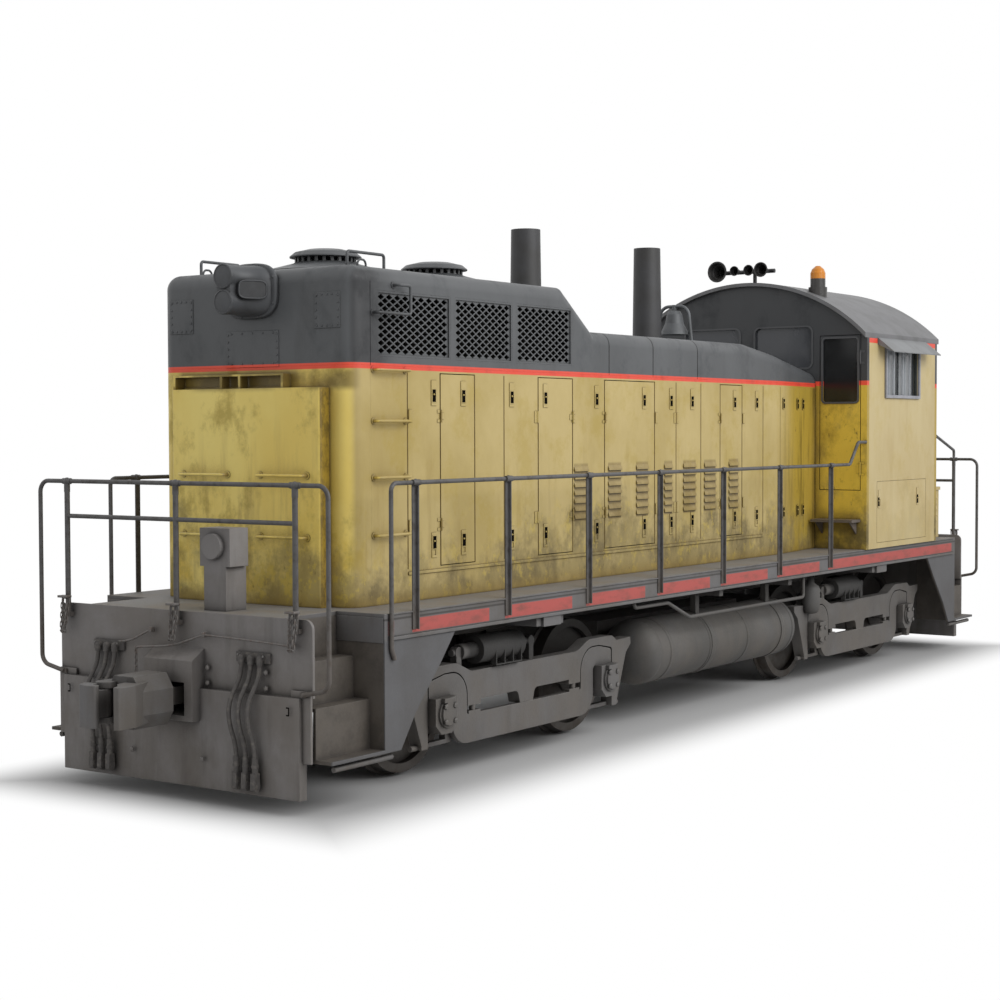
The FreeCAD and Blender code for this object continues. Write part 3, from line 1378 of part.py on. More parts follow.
def number_board(x, z, half):
    """Rimmed blank board on the slanting left side of a headlight casting."""
    fall = float(s.lamp_wide - 25 - half)
    angle = -math.degrees(math.atan(fall / float(s.lamp_body - s.lamp_flange)))
    long, tall, rim = float(s.board_length), float(s.board_height) / 2, float(s.board_rim)
    plate = slab("XZ", [
        (0, -tall, 30), (long, -tall, 30), (long, tall, 30), (0, tall, 30),
    ], -60, 8)
    dish = slab("XZ", [
        (rim, rim - tall, 22), (long - rim, rim - tall, 22),
        (long - rim, tall - rim, 22), (rim, tall - rim, 22),
    ], 3, 20)
    board = plate.cut(dish)
    board.translate(Vector(18, 0, 0))
    board.rotate(Vector(), Vector(0, 0, 1), angle)
    board.translate(Vector(float(x), float(s.lamp_wide - 25), float(z)))
    return shaped("Board", board)


def headlights():
    """Front headlight on the turret and rear headlight over the cab's rear wall."""
    front = headlight(s.nose_x, s.turret_top - s.lamp_drop)
    rear_middle = s.front_pane_high + 2 * s.gasket_width + s.lamp_tall
    rear = headlight(-(s.cab_front - s.cab_length), rear_middle)
    return together([front, turned(rear)])


def engine_block():
    """Engine and generator as one plain mass on the deck."""
    return box(s.engine_back, s.engine_front, -s.engine_half, s.engine_half, s.deck_top, s.engine_top)


def grab_irons():
    """Bent bars on round feet: ladder rungs, grabs beside the grilles, on the roof and the nose."""
    solids = []
    stand = float(s.grab_stand)
    front, back = float(s.grab_front), float(s.grab_back)
    wall = float(s.hood_half)
    for side in (1, -1):
        y = wall * side
        out = (wall + stand) * side
        for z in (1940, 2380, 2810, 3200):
            solids.append(grab(((front - s.nose_round, y, z), (front - s.nose_round, out, z),
                                (back, out, z), (back, y, z))))
        solids.append(grab(((front - s.nose_round, y, 3630), (front - s.nose_round, out, 3630),
                            (back, out, 3630), (back, out, 3850), (back + 145, out, 3850),
                            (back + 145, y, 3850))))
        roof = s.turret_top
        high = roof + s.roof_grab_rise
        y = s.roof_grab_y * side
        solids.append(grab(((5200, y, roof), (5200, y, high), (4750, y, high), (4750, y, roof))))
    x = s.nose_x + s.nose_panel
    for z in (1930, 2400):
        for near, far in ((170, 640), (-170, -640)):
            solids.append(grab(((x, near, z), (x + stand, near, z), (x + stand, far, z), (x, far, z))))
    return shaped("Grabs", Part.makeCompound(solids))


def grab(points):
    """One grab iron with a round foot at each end."""
    r = float(s.grab_radius)
    places = [Vector(float(x), float(y), float(z)) for x, y, z in points]
    feet = []
    for foot, knee in ((places[0], places[1]), (places[-1], places[-2])):
        feet.append(Part.makeCylinder(float(s.grab_foot), r / 2, foot, knee - foot))
    return tube(points, r, 2 * r + 1).multiFuse(feet).removeSplitter()


# ---- cab ----

def roof_arc(inset, x_low, x_high):
    """Cylinder along the cab whose top is the roof's arc, inset by a sheet."""
    rise = s.cab_crown - s.cab_eave
    radius = (cab_half * cab_half + rise * rise) / (2 * rise)
    return drum("X", x_low, 0, s.cab_crown - radius, radius - inset, x_high - x_low)


def cab_hinge(on_leaf):
    """Cab door hinge barrels on the leaf, or above and below them on the wall."""
    pieces = []
    half = s.hinge_length
    x = s.cab_front + s.hinge_radius
    y = cab_door_out - s.cab_door_gap / 2
    for z in (s.floor_top + s.cab_hinge_in, s.cab_door_top - s.cab_hinge_in):
        if on_leaf:
            spans = [(z - half, z + half)]
        else:
            spans = [(z - 1.5 * half, z - half - s.seat_gap), (z + half + s.seat_gap, z + 1.5 * half)]
        for low, high in spans:
            pieces.append(drum("Z", x, y, low, s.hinge_radius, high - low))
            y_low, y_high = (y - s.hinge_strap, y) if on_leaf else (y, y + s.hinge_strap)
            pieces.append(box(s.cab_front, s.cab_front + s.hinge_sheet, y_low, y_high, low, high))
    return pieces


def window(plane, u_low, u_high, v_low, v_high, corner, start, stop):
    """Block in the shape of a window with round corners, between two depths."""
    return shaped("Window", slab(plane, (
        (u_low, v_low, corner), (u_high, v_low, corner),
        (u_high, v_high, corner), (u_low, v_high, corner),
    ), start, stop))


def gasket(u_low, u_high, v_low, v_high, corner, face):
    """Rubber gasket proud of an end wall or a cab door, round one of its windows."""
    g = s.gasket_width
    ring = slab("YZ", (
        (u_low - g, v_low - g, corner + g), (u_high + g, v_low - g, corner + g),
        (u_high + g, v_high + g, corner + g), (u_low - g, v_high + g, corner + g),
    ), face, face + s.gasket_proud, ((
        (u_low, v_low, corner), (u_high, v_low, corner),
        (u_high, v_high, corner), (u_low, v_high, corner),
    ),))
    return shaped("Gasket", ring)


def step_shelf():
    """Shelf under a cab door, on two gussets."""
    front = s.cab_front
    low = s.shelf_top - s.shelf_sheet
    plate = box(front, front + s.shelf_reach, cab_door_in, cab_door_out, low, s.shelf_top)
    gussets = []
    for y in (cab_door_in + s.shelf_sheet, cab_door_out - 2 * s.shelf_sheet):
        gussets.append(shaped("Gusset", slab("XZ", (
            (front, low), (front, low - s.shelf_reach * 0.6), (front + s.shelf_reach * 0.8, low),
        ), y, y + s.shelf_sheet / 2)))
    return [plate] + gussets


def cab_end_wall():
    """Cab end wall, built as the front one: two end windows, a door on the left, a corner window."""
    t = s.cab_wall
    front = s.cab_front
    back = front - t
    blank = box(back, front, -cab_half, cab_half, s.deck_top, s.cab_crown)
    arched = common(blank, roof_arc(s.roof_sheet, back - t, front + t))
    over = front + t
    cuts = [window("YZ", *each, back - t, over) for each in end_windows()]
    sill = s.floor_top + s.cab_door_gap
    cuts.append(box(back - t, over, cab_door_in, cab_door_out, sill, s.cab_door_top))
    rings = [gasket(*each, front) for each in end_windows()]
    return fused([cut(arched, cuts)] + rings + cab_hinge(False))


def end_windows():
    """Windows of an end wall: inner, outer, bottom and top edge, and corner round."""
    low, high, corner = s.front_pane_low, s.front_pane_high, s.pane_round
    return (
        (s.front_pane_in, front_pane_out, low, high, corner),
        (-front_pane_out, -s.front_pane_in, low, high, corner),
        (-corner_pane_out, -corner_pane_in, s.corner_pane_low, s.corner_pane_high, s.corner_pane_round),
    )


def door_window():
    """Window of a cab door: the same five sizes."""
    return (corner_pane_in, corner_pane_out, s.corner_pane_low, s.corner_pane_high, s.corner_pane_round)


def other_end(piece):
    """The same cab wall turned to the cab's other end."""
    made = together([piece])
    twice_middle = 2 * s.cab_front - s.cab_length
    made.Placement = Placement(Vector(float(twice_middle), 0, 0), Rotation(Vector(0, 0, 1), 180))
    made.setExpression("Placement.Base.x", twice_middle.formula)
    return made


def cab_side():
    """Left cab side between the end walls, with its window."""
    t = s.cab_wall
    x_low, x_high = s.cab_front - s.cab_length + t, s.cab_front - t
    blank = box(x_low, x_high, cab_half - t, cab_half, s.deck_top, s.cab_crown)
    arched = common(blank, roof_arc(s.roof_sheet, x_low - t, x_high + t))
    pane = box(s.side_pane_front - s.side_pane_length, s.side_pane_front,
               cab_half - 2 * t, cab_half + t, s.side_pane_low, s.side_pane_high)
    front, back = s.cab_front - s.hatch_front, s.cab_front - s.hatch_back
    low, gap = s.deck_top + s.hatch_sill, s.groove_width
    line = slab("XZ", (
        (back, low), (front, low), (front, s.hatch_top), (back, s.hatch_top),
    ), cab_half - s.groove_depth, cab_half + gap, ((
        (back + gap, low + gap), (front - gap, low + gap),
        (front - gap, s.hatch_top - gap), (back + gap, s.hatch_top - gap),
    ),))
    wall = cut(arched, [pane, shaped("HatchLine", line)])
    latches = [cab_latch(x) for x in (front - s.latch_half * 2, back + s.latch_half * 7)]
    return fused([wall] + latches)


def cab_latch(x):
    """Latch plate of a battery hatch, with the pocket for its handle."""
    z = s.hatch_top - s.latch_height
    half = s.latch_height / 2
    plate = box(x - s.latch_half, x + s.latch_half, cab_half - s.groove_depth / 2,
                cab_half + s.groove_depth, z - half, z + half)
    pocket = box(x - s.latch_half / 2, x + s.latch_half / 2, cab_half, cab_half + s.cab_wall,
                 z - half * 0.8, z)
    return cut(plate, [pocket])


def cab_roof():
    """Arched cab roof sheet that overhangs both end walls."""
    x_low, x_high = s.cab_front - s.cab_length - s.roof_over, s.cab_front + s.roof_over
    over = s.roof_sheet
    inside = roof_arc(s.roof_sheet, x_low - over, x_high + over)
    shell = cut(roof_arc(Size("0", 0), x_low, x_high), [inside])
    keep = box(x_low, x_high, -cab_half, cab_half, s.cab_eave - 2 * s.roof_sheet, s.cab_crown)
    return common(shell, keep)


def cab_door():
    """Front cab door leaf with its window opening, hinged at the outer edge."""
    g = s.cab_door_gap
    leaf = box(s.cab_front - s.cab_door_sheet, s.cab_front, cab_door_in + g, cab_door_out - g,
               s.floor_top + 2 * g, s.cab_door_top - g)
    pane = window("YZ", *door_window(), s.cab_front - 2 * s.cab_door_sheet, s.cab_front + s.cab_door_sheet)
    return fused([cut(leaf, [pane]), gasket(*door_window(), s.cab_front)] + cab_hinge(True))


def cab_door_glass():
    """Pane of the front cab door."""
    middle = s.cab_front - s.cab_door_sheet / 2
    return window("YZ", *door_window(), middle - s.pane_sheet / 2, middle + s.pane_sheet / 2)


def cab_glass():
    """Fixed panes of the cab: end windows, corner windows and side windows."""
    middle = s.cab_front - s.cab_wall / 2
    low, high = middle - s.pane_sheet / 2, middle + s.pane_sheet / 2
    end = [window("YZ", *each, low, high) for each in end_windows()]
    y = cab_half - s.cab_wall / 2
    side = box(s.side_pane_front - s.side_pane_length, s.side_pane_front,
               y - s.pane_sheet / 2, y + s.pane_sheet / 2, s.side_pane_low, s.side_pane_high)
    return together(end + [other_end(each) for each in end] + both_sides(side))


def sunshades():
    """Over each cab side window a folded sunshade with closed ends, and the window's own frame."""
    front = s.side_pane_front + s.shade_over
    back = s.side_pane_front - s.side_pane_length - s.shade_over
    top = s.cab_eave - 60
    out = cab_half + s.shade_reach
    t = s.shade_sheet
    sheet = shaped("Shade", slab("YZ", (
        (cab_half, top), (out, top - s.shade_drop),
        (out, top - s.shade_drop + t), (cab_half, top + 1.5 * t),
    ), back, front))
    ends = []
    for x in (back, front - t):
        ends.append(shaped("ShadeEnd", slab("YZ", (
            (cab_half, top), (out, top - s.shade_drop), (cab_half, top - s.shade_drop * 0.4),
        ), x, x + t)))
    return together(both_sides(fused([sheet] + ends)) + both_sides(side_window_frame()))


def side_window_frame():
    """Frame of a cab side window with its sliding sashes' bars."""
    low, high = s.side_pane_low, s.side_pane_high
    front, back = s.side_pane_front, s.side_pane_front - s.side_pane_length
    w = s.sash_width
    ring = slab("XZ", (
        (back - w, low - w), (front + w, low - w), (front + w, high), (back - w, high),
    ), cab_half, cab_half + s.sash_proud, ((
        (back, low), (front, low), (front, high - w), (back, high - w),
    ),))
    bars = []
    for share in (0.28, 0.5, 0.78):
        x = back + s.side_pane_length * share
        bars.append(box(x - w / 2, x + w / 2, cab_half, cab_half + s.sash_proud / 2, low, high - w))
    return fused([shaped("WindowFrame", ring)] + bars)


def cab_interior():
    """Raised cab floor with the control stand and two seats."""
    t = s.cab_wall
    x_low, x_high = s.cab_front - s.cab_length + t, s.cab_front - t
    inner = cab_half - t
    floor = box(x_low, x_high, -inner, inner, s.floor_top - s.floor_sheet, s.floor_top)
    z = s.floor_top
    stand = box(x_high - 620, x_high - 220, -750, -350, z, z + 1150)
    pieces = [floor, stand]
    for side in (-1, 1):
        y = 1080 * side
        pieces.append(drum("Z", x_high - 1050, y, z, 45, 420))
        pieces.append(box(x_high - 1280, x_high - 820, y - 210, y + 210, z + 420, z + 500))
        pieces.append(box(x_high - 1320, x_high - 1260, y - 210, y + 210, z + 420, z + 950))
    return fused(pieces)


def battery_box():
    """Box of batteries on the rear deck under a lid, with vents low on each side."""
    x_high = s.cab_front - s.cab_length
    top = s.floor_top - s.battery_gap
    x_low = x_high - s.box_length
    shell = box(x_low, x_high, -s.battery_half, s.battery_half, s.deck_top, top - s.lid_sheet)
    lid = box(x_low - s.lid_over, x_high, -s.battery_half - s.lid_over, s.battery_half + s.lid_over,
              top - s.lid_sheet, top)
    vents = []
    for i in range(5):
        z = top - s.lid_sheet - s.louver_pitch * (1.4 + i)
        vent = shaped("Vent", slab("YZ", (
            (s.battery_half, z),
            (s.battery_half + s.louver_proud, z),
            (s.battery_half, z + s.louver_height),
        ), x_low + s.louver_pitch, x_low + s.louver_pitch * 3.5))
        vents += both_sides(vent)
    return fused([shell, lid] + vents)


def horn():
    """Air horn: a post, a manifold across the roof and four flared trumpets."""
    x = s.cab_front - 185
    z = s.cab_crown + 144
    pieces = [
        drum("Z", x, 0, s.cab_crown - s.roof_sheet, 22, 144 + s.roof_sheet),
        drum("Y", x, -430, z, 24, 680),
    ]
    for y, mouth in ((-370, 120), (-150, 56), (30, 62), (185, 84)):
        trumpet = turned_body("Trumpet", "XZ_Plane", (
            (0, 0), (222, 0.86 * mouth), (222, mouth), (212, mouth), (170, 0.62 * mouth),
            (110, 0.36 * mouth), (0, 0.22 * mouth),
        ), "H_Axis")
        put(trumpet, x + 10, y, z)
        pieces.append(trumpet)
    return cut(fused(pieces), [roof_arc(Size("0", 0), x - 200, x + 200)])


def beacon():
    """Amber warning lamp on a round base near the cab roof's left front corner."""
    x = s.cab_front - 265
    y = 750
    z = s.cab_crown - 150
    whole = fused([
        drum("Z", x, y, z - 40, 105, 125),
        drum("Z", x, y, z + 85, 85, 160),
        cone("Z", x, y, z + 245, 85, 66, 45),
        cone("Z", x, y, z + 290, 66, 26, 35),
    ])
    return cut(whole, [roof_arc(Size("0", 0), x - 200, x + 200)])


# ---- trucks ----

def side_profile():
    """Upper outline of a side frame from its middle to the foot of its outer pedestal leg."""
    over = s.axle_half - s.box_half
    beyond = s.axle_half + s.box_half
    foot = beyond + s.pedestal_leg
    end_top = s.arch_top - s.horn_drop
    return [
        (over - s.equalizer_width - s.pedestal_leg, s.frame_top, s.equalizer_width),
        (over - s.pedestal_leg, s.arch_top, s.box_half),
        (beyond, s.arch_top, s.tie_depth),
        (foot, end_top - s.tie_depth / 4, s.tie_depth),
        (s.frame_reach, end_top),
        (s.frame_reach, end_top - s.horn_depth, s.tie_depth / 2),
        (s.frame_reach - s.pedestal_leg, end_top - 2 * s.horn_depth, s.horn_depth),
        (foot, s.pedestal_low),
        (beyond, s.pedestal_low),
    ]


def beam_underside(edge):
    """Underside of a side frame's beam from a spring pocket's outer edge to the middle tab."""
    window = s.spring_x - s.pocket_half
    tab = s.seat_radius / 2
    return [
        (edge, s.pocket_low),
        (window, s.pocket_low),
        (window, s.frame_low),
        (tab + s.tie_depth, s.frame_low, s.tie_depth * 1.6),
        (tab, s.bar_high + s.seat_gap),
    ]


def whole_side(half, start, stop):
    """Slab whose outline is a half outline and its mirror image."""
    left = [(-corner[0],) + tuple(corner[1:]) for corner in reversed(half)]
    return slab("XZ", half + left, start, stop)


def truck_frame():
    """Cast truck frame: each side is a web with a raised face that arches over the equalizer."""
    inner = s.frame_in
    web = s.frame_in + s.frame_sheet
    face = web + s.equalizer_gap + s.equalizer_sheet
    beyond = s.axle_half + s.box_half
    behind = s.axle_half - s.box_half
    clear = s.equalizer_clear
    upright = s.equalizer_x - clear
    pocket_out = s.spring_x + s.pocket_half
    web_half = side_profile() + [
        (beyond, s.box_high + s.tie_depth, s.tie_depth),
        (behind, s.box_high + s.tie_depth, s.tie_depth),
        (behind, s.pedestal_low),
        (behind - s.pedestal_leg, s.pedestal_low),
        (behind - s.pedestal_leg, s.frame_low, s.tie_depth),
        (pocket_out, s.frame_low),
    ] + beam_underside(pocket_out)
    face_half = side_profile() + [
        (beyond, s.equalizer_top - s.pedestal_leg / 2 + clear, s.tie_depth),
        (behind + s.pedestal_leg, s.equalizer_top + clear, s.box_half),
        (upright, s.equalizer_top + clear, s.equalizer_width + clear),
    ] + beam_underside(upright)
    pieces = [
        shaped("SideWeb", whole_side(web_half, inner, web)),
        shaped("SideFace", whole_side(face_half, web, face)),
    ]
    spring_y = web + s.equalizer_gap + s.equalizer_sheet / 2
    spring_low = s.bar_high + s.spring_seat + s.seat_gap
    for side in (-1, 1):
        place = s.axle_half * side
        low, high = place - s.box_half - s.pedestal_leg, place + s.box_half + s.pedestal_leg
        pieces.append(box(low, high, inner, web, s.pedestal_low - s.tie_depth, s.pedestal_low))
        outer_leg = (place + s.box_half, high) if side > 0 else (low, place - s.box_half)
        pieces.append(box(*outer_leg, web, face, s.pedestal_low - s.tie_depth, s.pedestal_low))
        nut = high if side > 0 else low - s.pedestal_leg
        pieces.append(drum("X", nut, web, s.pedestal_low - s.tie_depth / 2,
                           s.tie_depth * 0.7, s.pedestal_leg))
        pieces.append(drum("Z", s.spring_x * side, spring_y, spring_low,
                           s.equalizer_sheet / 2, s.pocket_low - spring_low))
    left_side = fused(pieces + brake_cylinder())
    transom = box(-230, 230, -inner, inner, s.frame_low, s.frame_top)
    bowl = drum("Z", 0, 0, s.frame_top, s.seat_radius + 60, s.seat_top - s.frame_top)
    return fused([left_side, mirrored(left_side, LEFT_TO_RIGHT), transom, bowl])


def brake_cylinder():
    """Brake cylinder over the side frame, pinned between two lugs, with its slack adjuster."""
    y, z = s.cylinder_y, s.cylinder_z
    back = s.cylinder_back
    front = back + s.cylinder_length
    rod = s.cylinder_radius / 4
    neck = s.cylinder_radius * 0.55
    reach = s.cylinder_length / 3
    lug = s.tie_depth
    pieces = [
        drum("X", back, y, z, s.cylinder_radius, s.cylinder_length),
        drum("X", front, y, z, neck, reach),
        drum("X", back - reach - lug, y, z, rod, s.cylinder_length + 2 * (reach + lug) + 2 * lug),
    ]
    for place, foot in ((back - reach, s.frame_top), (front + reach + lug, s.arch_top - lug / 2)):
        pieces.append(box(place - lug, place + lug, y - lug, y + lug, foot - lug, z))
        pieces.append(drum("Y", place, y - lug, z, lug * 1.4, 2 * lug))
    for i in range(4):
        x = back + s.cylinder_length * (0.1 + 0.2 * i)
        pieces.append(box(x, x + lug / 3, y + neck, y + s.cylinder_radius, s.frame_top + lug / 2, z))
    low = s.frame_top + lug / 2
    pieces.append(box(back + s.cylinder_length * 0.1, back + s.cylinder_length * 0.7 + lug / 3,
                      y + neck, y + s.cylinder_radius, low, low + lug / 3))
    return pieces


def equalizer():
    """Drop equalizer: a deep bar whose uprights curve over and rest on two journal boxes."""
    start = s.frame_in + s.frame_sheet + s.equalizer_gap
    stop = start + s.equalizer_sheet
    near = s.equalizer_x
    far = near + s.equalizer_width
    tip = s.axle_half + s.box_half - 2 * s.box_gap
    half = [
        (far, s.bar_low, s.equalizer_width),
        (far, s.box_high, s.pedestal_leg / 2),
        (tip, s.box_high),
        (tip, s.equalizer_top - s.pedestal_leg / 2, s.tie_depth),
        (s.axle_half - s.box_half + s.pedestal_leg, s.equalizer_top, s.box_half),
        (near, s.equalizer_top, s.equalizer_width),
        (near, s.bar_high, s.spring_seat),
    ]
    bar = shaped("Equalizer", whole_side(half, start, stop))
    seats = [
        box(place - s.pocket_half + s.box_gap, place + s.pocket_half - s.box_gap,
            start, stop, s.bar_high, s.bar_high + s.spring_seat)
        for place in (-s.spring_x, s.spring_x)
    ]
    return fused([bar] + seats)


def journal_boxes():
    """Journal boxes in the pedestals: chamfered foot, round cover on a flange, lip over it."""
    start = s.frame_in
    front = start + s.box_depth
    pieces = []
    half = s.box_half - s.box_gap
    axle_z = s.wheel_radius + s.flange_depth
    chamfer = s.box_half / 2
    for place in (-s.axle_half, s.axle_half):
        body = shaped("BoxBody", slab("XZ", (
            (place - half + chamfer, s.box_low),
            (place + half - chamfer, s.box_low),
            (place + half, s.box_low + chamfer),
            (place + half, s.box_high),
            (place - half, s.box_high),
            (place - half, s.box_low + chamfer),
        ), start, front))
        flange = drum("Y", place, front, axle_z, s.cap_radius, s.cap_proud / 2)
        cap = drum("Y", place, front, axle_z, s.cap_radius - s.cap_proud / 2, s.cap_proud)
        lip = box(place - half / 2, place + half / 2, front, front + s.cap_proud,
                  s.box_high - s.cap_proud, s.box_high)
        bore = drum("Y", place, start - half, axle_z, s.journal_radius + s.seat_gap,
                    half + s.journal_length + s.seat_gap)
        pieces.append(cut(fused([body, flange, cap, lip]), [bore]))
    return pieces


def wheelset(centre):
    """Axle with two pressed-on wheels, turned profiles with flange, rim, dished web and hub."""
    r = s.wheel_radius
    back = s.back_half
    flange = back + s.flange_width
    front = flange + s.tread_width
    rim = r - s.rim_depth
    web_in = back + 50
    body = turned_body("Wheelset", "XY_Plane", (
        (0, 0),
        (s.axle_radius, 0),
        (s.axle_radius, back - 20),
        (s.hub_radius, back - 20),
        (s.hub_radius, web_in),
        (rim, web_in),
        (rim, back),
        (r + s.flange_depth - 10, back),
        (r + s.flange_depth, back + 12),
        (r + s.flange_depth, back + 20),
        (r, flange),
        (r - 4, front),
        (rim, front),
        (rim, web_in + s.web_width),
        (s.hub_radius, web_in + s.web_width + 20),
        (s.hub_radius, front - 10),
        (s.journal_radius, front - 10),
        (s.journal_radius, s.frame_in + s.journal_length),
        (0, s.frame_in + s.journal_length),
    ), "V_Axis")
    both = fused(both_sides(body))
    placed = together([both])
    put(placed, centre, 0, r + s.flange_depth)
    return placed


def truck_at(piece, centre):
    """A truck's part moved to its centre."""
    placed = together([piece])
    put(placed, centre, 0, 0)
    return placed


# ---- couplers ----

def coupler():
    """Coupler: shank, head with guard arm on the left, and lugs that hold the knuckle's pin."""
    face = s.coupler_face
    z = s.coupler_z
    pin_x = face - s.knuckle_pin_in
    pin_y = -s.knuckle_pin_out
    half = s.knuckle_height / 2
    lug = 45
    thick = s.shank_half
    shank = box(s.coupler_pin - 90, face - 480, -thick, thick, z - thick, z + thick)
    head = shaped("Head", slab("XY", (
        (face - 520, -s.shank_half),
        (face - 400, -s.shank_half - 90),
        (face - 255, -s.shank_half - 110),
        (face - 255, 20),
        (face - 120, 60),
        (face - 60, 130),
        (face + 30, 175, 15),
        (face + 20, 225, 15),
        (face - 150, 215, 40),
        (face - 400, 110),
        (face - 520, s.shank_half),
    ), z - half, z + half))
    wide, tall = s.head_wide, s.head_half
    block = shaped("HeadBody", slab("YZ", (
        (-wide, z - tall * 0.45), (-wide * 0.6, z - tall), (wide * 0.6, z - tall),
        (wide, z - tall * 0.45), (wide, z + tall * 0.45), (wide * 0.6, z + tall),
        (-wide * 0.6, z + tall), (-wide, z + tall * 0.45),
    ), face - s.head_back, face - s.head_back + s.head_length))
    lugs = [
        shaped("Lug", slab("XY", (
            (face - 400, pin_y + 60),
            (face - 400, pin_y - 60),
            (pin_x, pin_y - 75, 60),
            (pin_x + 75, pin_y, 60),
            (pin_x, pin_y + 75, 30),
        ), low, low + lug))
        for low in (z - half, z + half - lug)
    ]
    body = fused([shank, head, block] + lugs)
    bore = drum("Z", s.coupler_pin, 0, z - 2 * thick, thick / 2 + s.seat_gap * 2, 4 * thick)
    pin = drum("Z", pin_x, pin_y, z - half, 18, s.knuckle_height)
    return fused([cut(body, [bore]), pin])


def knuckle():
    """Knuckle: hub on the pin and the nose that closes on the mating one."""
    face = s.coupler_face
    z = s.coupler_z
    pin_x = face - s.knuckle_pin_in
    pin_y = -s.knuckle_pin_out
    half = s.knuckle_height / 2 - 45 - s.knuckle_gap
    hub = drum("Z", pin_x, pin_y, z - half, 58, 2 * half)
    nose = shaped("Nose", slab("XY", (
        (pin_x, pin_y - 55),
        (pin_x + 90, pin_y - 70, 30),
        (face + 40, pin_y - 20, 30),
        (face + 60, pin_y + 80, 25),
        (face + 45, pin_y + 150, 20),
        (face, pin_y + 150, 20),
        (face - 20, pin_y + 50, 20),
        (pin_x, pin_y + 55),
    ), z - half, z + half))
    tall = shaped("NoseFace", slab("XY", (
        (pin_x + 105, pin_y - 45),
        (pin_x + 125, pin_y - 60, 12),
        (face + 40, pin_y - 20, 30),
        (face + 60, pin_y + 80, 25),
        (face + 45, pin_y + 150, 20),
        (face, pin_y + 150, 20),
        (face - 20, pin_y + 50, 20),
        (pin_x + 105, pin_y + 45),
    ), z - s.nose_half, z + s.nose_half))
    bore = drum("Z", pin_x, pin_y, z - s.knuckle_height, 18.05, 2 * s.knuckle_height)
    return cut(fused([hub, nose, tall]), [bore])


# ---- the locomotive, node by node ----

parts = {}
parts["underframe"] = underframe()
front_plate = end_plate()
parts["end_plate_front"] = front_plate
parts["end_plate_rear"] = turned(front_plate)
parts["step_wells"] = step_wells()
parts["fuel_tank"] = fuel_tank()
parts["air_reservoirs"] = air_reservoirs()
parts["side_handrails"] = together(both_sides(handrail_side()))
end_rail = handrail_end()
end_pieces = [end_rail] + safety_chains()
end_pieces += [turned(each) for each in end_pieces]
parts["end_handrails"] = together(end_pieces + [end_rail_brace()])
hoses = air_hoses()
parts["air_hoses"] = together([hoses, turned(hoses)])
couplings = hose_couplings()
parts["hose_couplings"] = together([couplings, turned(couplings)])
parts["control_pedestal"] = control_pedestal()
left_side = hood_side()
parts["hood_side_left"] = left_side
parts["hood_side_right"] = mirrored(left_side, LEFT_TO_RIGHT)
parts["hood_nose"] = hood_nose()
parts["hood_roof"] = hood_roof()
parts["radiator_grilles"] = radiator_grilles()
parts["grab_irons"] = grab_irons()
parts["fan_housings"] = fan_housings()
parts["fan_rotor_front"] = fan_rotor(s.fan_front)
parts["fan_rotor_rear"] = fan_rotor(s.fan_rear)
parts["exhaust_stacks"] = exhaust_stacks()
parts["bell"] = bell()
parts["headlights"] = headlights()
parts["engine_block"] = engine_block()
wall = cab_end_wall()
parts["cab_front_wall"] = fused([wall] + step_shelf())
parts["cab_rear_wall"] = other_end(wall)
side_wall = cab_side()
parts["cab_side_left"] = side_wall
parts["cab_side_right"] = mirrored(side_wall, LEFT_TO_RIGHT)
parts["cab_roof"] = cab_roof()
parts["cab_interior"] = cab_interior()
parts["cab_glass"] = cab_glass()
parts["sunshades"] = sunshades()
door, pane = cab_door(), cab_door_glass()
parts["cab_door_front"] = door
parts["cab_door_rear"] = other_end(door)
parts["cab_door_pane_front"] = pane
parts["cab_door_pane_rear"] = other_end(pane)
parts["battery_box"] = battery_box()
parts["horn"] = horn()
parts["beacon"] = beacon()
for row in LEAVES:
    if row[0] in MOVING:
        leaf = hood_door(*row)
        parts["hood_door_left_" + row[0][-1]] = leaf
        parts["hood_door_right_" + row[0][-1]] = mirrored(leaf, LEFT_TO_RIGHT)
frame = truck_frame()
riding = together(both_sides(fused(journal_boxes() + [equalizer()])))
for end_name, centre in (("front", s.truck_x), ("rear", -s.truck_x)):
    parts["truck_frame_" + end_name] = truck_at(frame, centre)
    parts["equalizers_" + end_name] = truck_at(riding, centre)
    for axle_name, shift in (("leading", s.axle_half), ("trailing", -s.axle_half)):
        parts["wheelset_%s_%s" % (end_name, axle_name)] = wheelset(centre + shift)
head, jaw = coupler(), knuckle()
parts["coupler_front"] = head
parts["coupler_rear"] = turned(head)
parts["knuckle_front"] = jaw
parts["knuckle_rear"] = turned(jaw)

for node, thing in parts.items():
    thing.Label = node
doc.recompute()

for thing in doc.Objects:
    if "Invalid" in thing.State or "Error" in thing.State:
        raise RuntimeError("%s failed: %s" % (thing.Name, thing.State))
for node, thing in parts.items():
    shape = thing.Shape
    if shape.isNull() or not shape.isValid() or not shape.Solids:
        raise RuntimeError(node + " has no valid shape")
for node, thing in parts.items():
    thing.Shape.exportStep("parts/%s.step" % node)
print(len(parts), "nodes")
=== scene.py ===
import math

import bmesh
import bpy
from mathutils import Matrix, Vector


